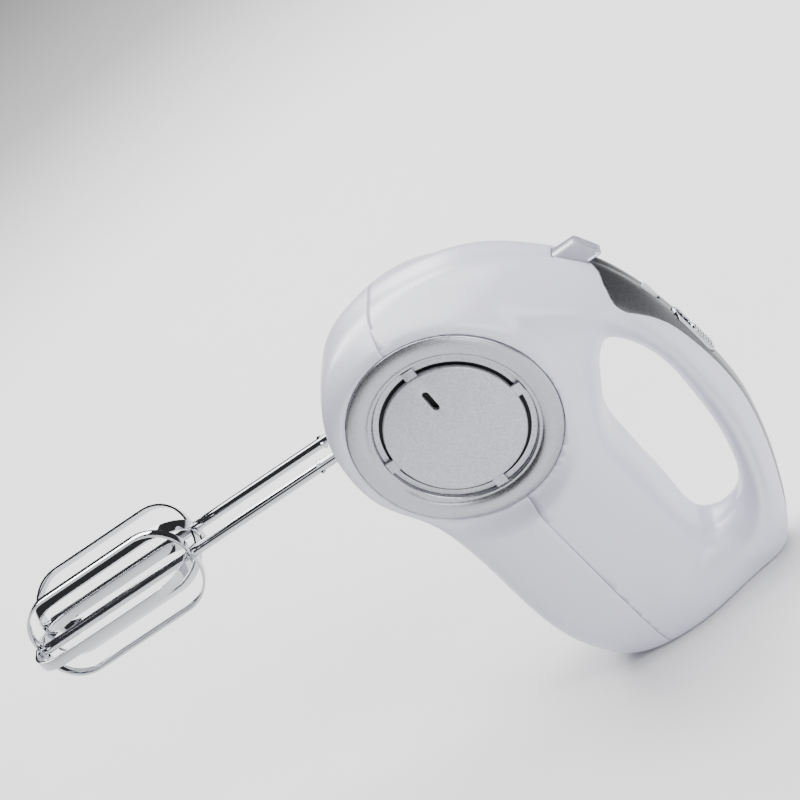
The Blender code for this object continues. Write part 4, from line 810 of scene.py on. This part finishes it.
def build_disc(name, side):
    """The disc with its four spokes and slot, the groove's floor, and a near-black sheet behind that paints
    the open vent's shade.
    """
    centre = side_vector(SEAT_CENTRE, side) + DATUM
    normal = side_vector(SEAT_NORMAL, side)
    turn = facing(normal, (0, 0, 1))
    edge = DISC_RADIUS
    profile = [(0, -1.6 * MM), (edge, -1.6 * MM), (edge, 0.2 * MM)]
    profile += [(edge - 0.35 * MM, 0.5 * MM), (edge - 0.7 * MM, 0.6 * MM), (0, 0.6 * MM)]
    disc = turned(f"disc_{name}", profile, centre, normal, DISC, 160, closed=False)
    reach = 2 * (RING_LIP_RADIUS - GAP)
    for size in ((SPOKE_WIDTH, reach), (reach, SPOKE_WIDTH)):
        cut(disc, box((*size, SPOKE_THICKNESS), centre - normal * SPOKE_SUNK, turn), "UNION")
    place = centre + turn @ Vector((SLOT_PLACE, 0, 0))
    cut(disc, prism(lozenge(SLOT_LENGTH, SLOT_WIDTH), THROUGH, place, turn))
    soften(disc, 0.15 * MM, 2, 50)
    show(disc, "body", f"vent_disc_{name}", slot="disc")

    # The groove's silver floor leaves an arc open beside the disc, where the near-black sheet below shows as
    # the painted shade of the open vent.
    inner, outer = DISC_RADIUS + GROOVE_MARGIN, RING_LIP_RADIUS - 0.4 * MM
    profile = [(outer, GROOVE_TOP), (outer, GROOVE_BASE), (inner, GROOVE_BASE), (inner, GROOVE_TOP)]
    floor = turned(f"groove_{name}", profile, centre, normal, DISC, 128)
    show(floor, "body", slot="disc")
    # Painted shade: a near-black sheet under the groove, in place of the shadowed interior behind the vent.
    profile = [(0, VENT_TOP), (0, VENT_BASE), (outer, VENT_BASE), (outer, VENT_TOP)]
    vent = turned(f"vent_{name}", profile, centre, normal, PAINTED_VENT_SHADE, 96, closed=False)
    show(vent, "body", slot="dark_plastic")


# ---- controls ----


def ribs(count, pitch, size, place, turn):
    """A row of boxes along the turned X, centred on a place."""
    for i in range(count):
        yield box(size, place + turn @ Vector(((i - (count - 1) / 2) * pitch, 0, 0)), turn)


def build_slider():
    """The bezel's rim, the grooved grip at its low end, and the dark tray under both."""
    along = along_of(SLIDER_OUT)
    turn = facing(SLIDER_OUT, along)
    middle = SLIDER_CENTRE + SLIDER_OUT * (BEZEL_PROUD - BEZEL_HALF)
    bezel = make("bezel_rim", prism(lozenge(BEZEL_LENGTH, BEZEL_WIDTH), BEZEL_HALF, middle, turn), CHROME)
    opening = lozenge(BEZEL_LENGTH - BEZEL_RIM, BEZEL_WIDTH - BEZEL_RIM)
    cut(bezel, prism(opening, 10 * MM, middle, turn))
    soften(bezel, 0.35 * MM)
    show(bezel, "body", "slider_bezel", slot="chrome")

    width = BEZEL_WIDTH - BEZEL_RIM - 2 * GAP
    shift = (BEZEL_LENGTH - BEZEL_RIM - GRIP_LENGTH) / 2 - GAP
    place = SLIDER_CENTRE - along * shift + SLIDER_OUT * (GRIP_PROUD - GRIP_HALF)
    grip = make("slider_grip", prism(lozenge(GRIP_LENGTH, width), GRIP_HALF, place, turn), CHROME)
    for groove in ribs(GRIP_GROOVES, GRIP_PITCH, GRIP_GROOVE, place + SLIDER_OUT * GRIP_HALF, turn):
        cut(grip, groove)
    soften(grip, 0.16 * MM, 2)
    show(grip, "speed_control", "speed_slider", slot="chrome")

    outline = lozenge(BEZEL_LENGTH - TRAY_INSET, BEZEL_WIDTH - TRAY_INSET)
    base = SLIDER_CENTRE - SLIDER_OUT * TRAY_DEPTH
    tray = make("slider_tray", prism(outline, TRAY_HALF, base, turn), DARK)
    show(tray, "body", slot="dark_plastic")


def build_turbo():
    turn = facing(TURBO_OUT, along_of(TURBO_OUT))
    place = TURBO_CENTRE + TURBO_OUT * (TURBO_PROUD - TURBO_HALF)
    outline = lozenge(TURBO_LENGTH, TURBO_WIDTH, TURBO_TAIL_WIDTH)
    cap = make("turbo_cap", prism(outline, TURBO_HALF, place, turn), BUTTON)
    soften(cap, 0.5 * MM, 4)
    show(cap, "turbo_control", "turbo_button", slot="grey_plastic")


def build_eject():
    """A clear button with a shallow window in its sloping top, round a milky core."""
    turn = facing((0, -1, 0), (1, 0, 0))
    button = make("eject_cap", prism(eject_outline(0, 0), EJECT_WIDTH / 2, (0, 0, 0), turn), CLEAR)
    soften(button, 1.1 * MM, 4)
    slope = Vector((EJECT_TOP_LOW - EJECT_TOP_HIGH, 0, -EJECT_HEIGHT)).normalized()
    out = Vector((-slope.z, 0, slope.x))
    centre = Vector(((EJECT_TOP_LOW + EJECT_TOP_HIGH) / 2, 0, EJECT_Z))
    cut(button, box(EJECT_WINDOW, centre, facing(out, slope)))
    cut(button, box(EJECT_FLANGE, (EJECT_FLANGE_X, 0, EJECT_Z), Matrix.Identity(3)), "UNION")
    show(button, "ejector", "eject_button", slot="clear_plastic")
    outline = eject_outline(-EJECT_WALL, -EJECT_WALL)
    core = make("eject_core", prism(outline, EJECT_WIDTH / 2 - EJECT_WALL, (0, 0, 0), turn), MILKY)
    soften(core, 0.8 * MM, 3)
    show(core, "ejector", slot="white_plastic")


MARK_ENDS = ((-24, -2), (-13, -6))
MARK_LENGTH = 12.0 * MM
MARK_WIDTH = 1.4 * MM
MARK_HALF = 0.55 * MM
MARK_PROUD = 0.22 * MM


def build_mark(shell):
    """A small raised rib on the nose, just on the handle's side of the seam."""
    down = Vector((0, 0, -1))
    ends = [shell.ray_cast(Vector((x, y, 300)) * MM, down)[1] for x, y in MARK_ENDS]
    middle = (ends[0] + ends[1]) / 2
    normal = shell.ray_cast(middle - down * 100 * MM, down)[2]
    turn = facing(normal, ends[1] - ends[0])
    place = middle + normal * (MARK_PROUD - MARK_HALF)
    rib = make("nose_rib", prism(lozenge(MARK_LENGTH, MARK_WIDTH), MARK_HALF, place, turn), WHITE)
    soften(rib, 0.25 * MM, 4)
    show(rib, "body", slot="white_plastic")


# ---- beaters ----

TIP_X = -221.5 * MM
CAGE_LENGTH = 78.0 * MM
CAGE_HALF = 19.3 * MM
STRIP_WIDTH = 4.5 * MM
STRIP = 1.0 * MM
LOOP_STEP = 0.4 * MM
TIP_CORNER = 15.0 * MM
TOP_CORNER = 17.0 * MM
SHAFT_RADIUS = 2.2 * MM
SHAFT_END_X = -2.0 * MM
CORE_RADIUS = SHAFT_RADIUS * 0.7  # where the shaft is turned down to pass through the loops' tips
LOOP_HOLE_GAP = 0.1 * MM
LUG_X = -80.0 * MM
LUG_COUNT = 2
LUG_HALF_LENGTH = 1.6 * MM
LUG_PROUD = 1.1 * MM
LUG_HALF_THICKNESS = 1.0 * MM
SOCKET_RADIUS = 1.4 * MM
SOCKET_DEPTH = 4.0 * MM


def loop_outline(tip, top, half, tip_corner, top_corner):
    """A beater loop's edge: a long ring with rounded corners, from its tip to its top."""
    points = list(arc((tip + tip_corner, half - tip_corner), tip_corner, 180, 90, 20))
    points += arc((top - top_corner, half - top_corner), top_corner, 90, 0, 20)
    return points + [(along, -across) for along, across in points[::-1]]


def build_loop(piece, node, body, y, turn_degrees, tip, top):
    """A flat strip bent into a loop, with a hole at each end for the shaft."""
    spin = Matrix.Rotation(math.radians(turn_degrees), 3, "X")
    turn = spin @ facing((0, -1, 0), (1, 0, 0))
    outer = loop_outline(tip, top, CAGE_HALF, TIP_CORNER, TOP_CORNER)
    inner = loop_outline(tip + STRIP, top - STRIP, CAGE_HALF - STRIP, TIP_CORNER - STRIP, TOP_CORNER - STRIP)
    bm = bmesh.new()
    rings = []
    for outline, height in ((outer, -1), (outer, 1), (inner, 1), (inner, -1)):
        rings.append([bm.verts.new((x, z, height * STRIP_WIDTH / 2)) for x, z in outline])
    for ring, following in zip(rings, rings[1:] + rings[:1]):
        for j in range(len(outer)):
            after = (j + 1) % len(outer)
            bm.faces.new((ring[j], ring[after], following[after], following[j]))
    centre = Vector((0, y, BEATER_Z)) + DATUM
    loop = make(piece, placed(bm, centre, turn), CHROME)
    across = Vector((5 * MM, 0, 0))
    for end, radius in ((tip, CORE_RADIUS), (top, SHAFT_RADIUS)):
        place = centre + Vector((end, 0, 0))
        cut(loop, cylinder(radius + LOOP_HOLE_GAP, place - across, place + across, 32))
    soften(loop, 0.3 * MM, 3)
    show(loop, body, node, slot="chrome")


def build_shaft(piece, node, body, y, turn_degrees):
    """A rod with a socket in its driven end, riveted at the tip, and two crossed pairs of ears."""
    thin_end = TIP_X + 2 * (STRIP + LOOP_STEP) + 1.0 * MM
    core = CORE_RADIUS
    rivet = TIP_X - GAP
    length = SHAFT_END_X - rivet
    neck = thin_end - rivet
    socket = length - SOCKET_DEPTH
    profile = [(0, socket), (SOCKET_RADIUS, socket), (SOCKET_RADIUS, length)]
    profile += [(SHAFT_RADIUS - 0.5 * MM, length), (SHAFT_RADIUS, length - 0.8 * MM)]
    profile += [(SHAFT_RADIUS, neck + 0.5 * MM), (SHAFT_RADIUS - 0.4 * MM, neck), (core, neck)]
    profile += [(core, 0), (core + 0.8 * MM, 0), (core + 0.6 * MM, -0.35 * MM)]
    profile += [(core, -0.6 * MM), (0, -0.8 * MM)]
    start = Vector((rivet, y, BEATER_Z)) + DATUM
    shaft = turned(piece, profile, start, (1, 0, 0), CHROME, 64, closed=False)
    middle = Vector((LUG_X, y, BEATER_Z)) + DATUM
    for number in range(LUG_COUNT):
        spin = Matrix.Rotation(math.radians(turn_degrees + 45 + 90 * number), 3, "X")
        bm = bmesh.new()
        bmesh.ops.create_uvsphere(bm, u_segments=32, v_segments=16, radius=1)
        scale = Matrix.Diagonal((LUG_HALF_LENGTH, SHAFT_RADIUS + LUG_PROUD, LUG_HALF_THICKNESS, 1))
        bmesh.ops.transform(bm, matrix=scale, verts=bm.verts)
        cut(shaft, placed(bm, middle, spin), "UNION")
    show(shaft, body, node, slot="chrome")


def build_beater(name, side):
    """Two crossed loops on a shaft, an eighth of a turn out of step with the other beater."""
    y = side * BEATER_SPACING / 2
    phase = 45 if side > 0 else 0
    top = TIP_X + CAGE_LENGTH
    step = STRIP + LOOP_STEP
    body = f"beater_{name}"
    build_loop(f"{name}_outer_strip", f"{body}_outer_loop", body, y, phase + 90, TIP_X, top - step)
    build_loop(f"{name}_inner_strip", f"{body}_inner_loop", body, y, phase, TIP_X + step, top)
    build_shaft(f"{name}_rod", f"{body}_shaft", body, y, phase)


build_camera()
build_lights()
build_world()
build_floor()
finish_nodes()
skin = body_skin()
build_lower(skin)
upper = build_upper(skin)
build_panel(skin)
skin.free()
for name, side in SIDES.items():
    build_ring(name, side)
    build_disc(name, side)
    build_beater(name, side)
build_slider()
build_turbo()
build_eject()
build_mark(upper)
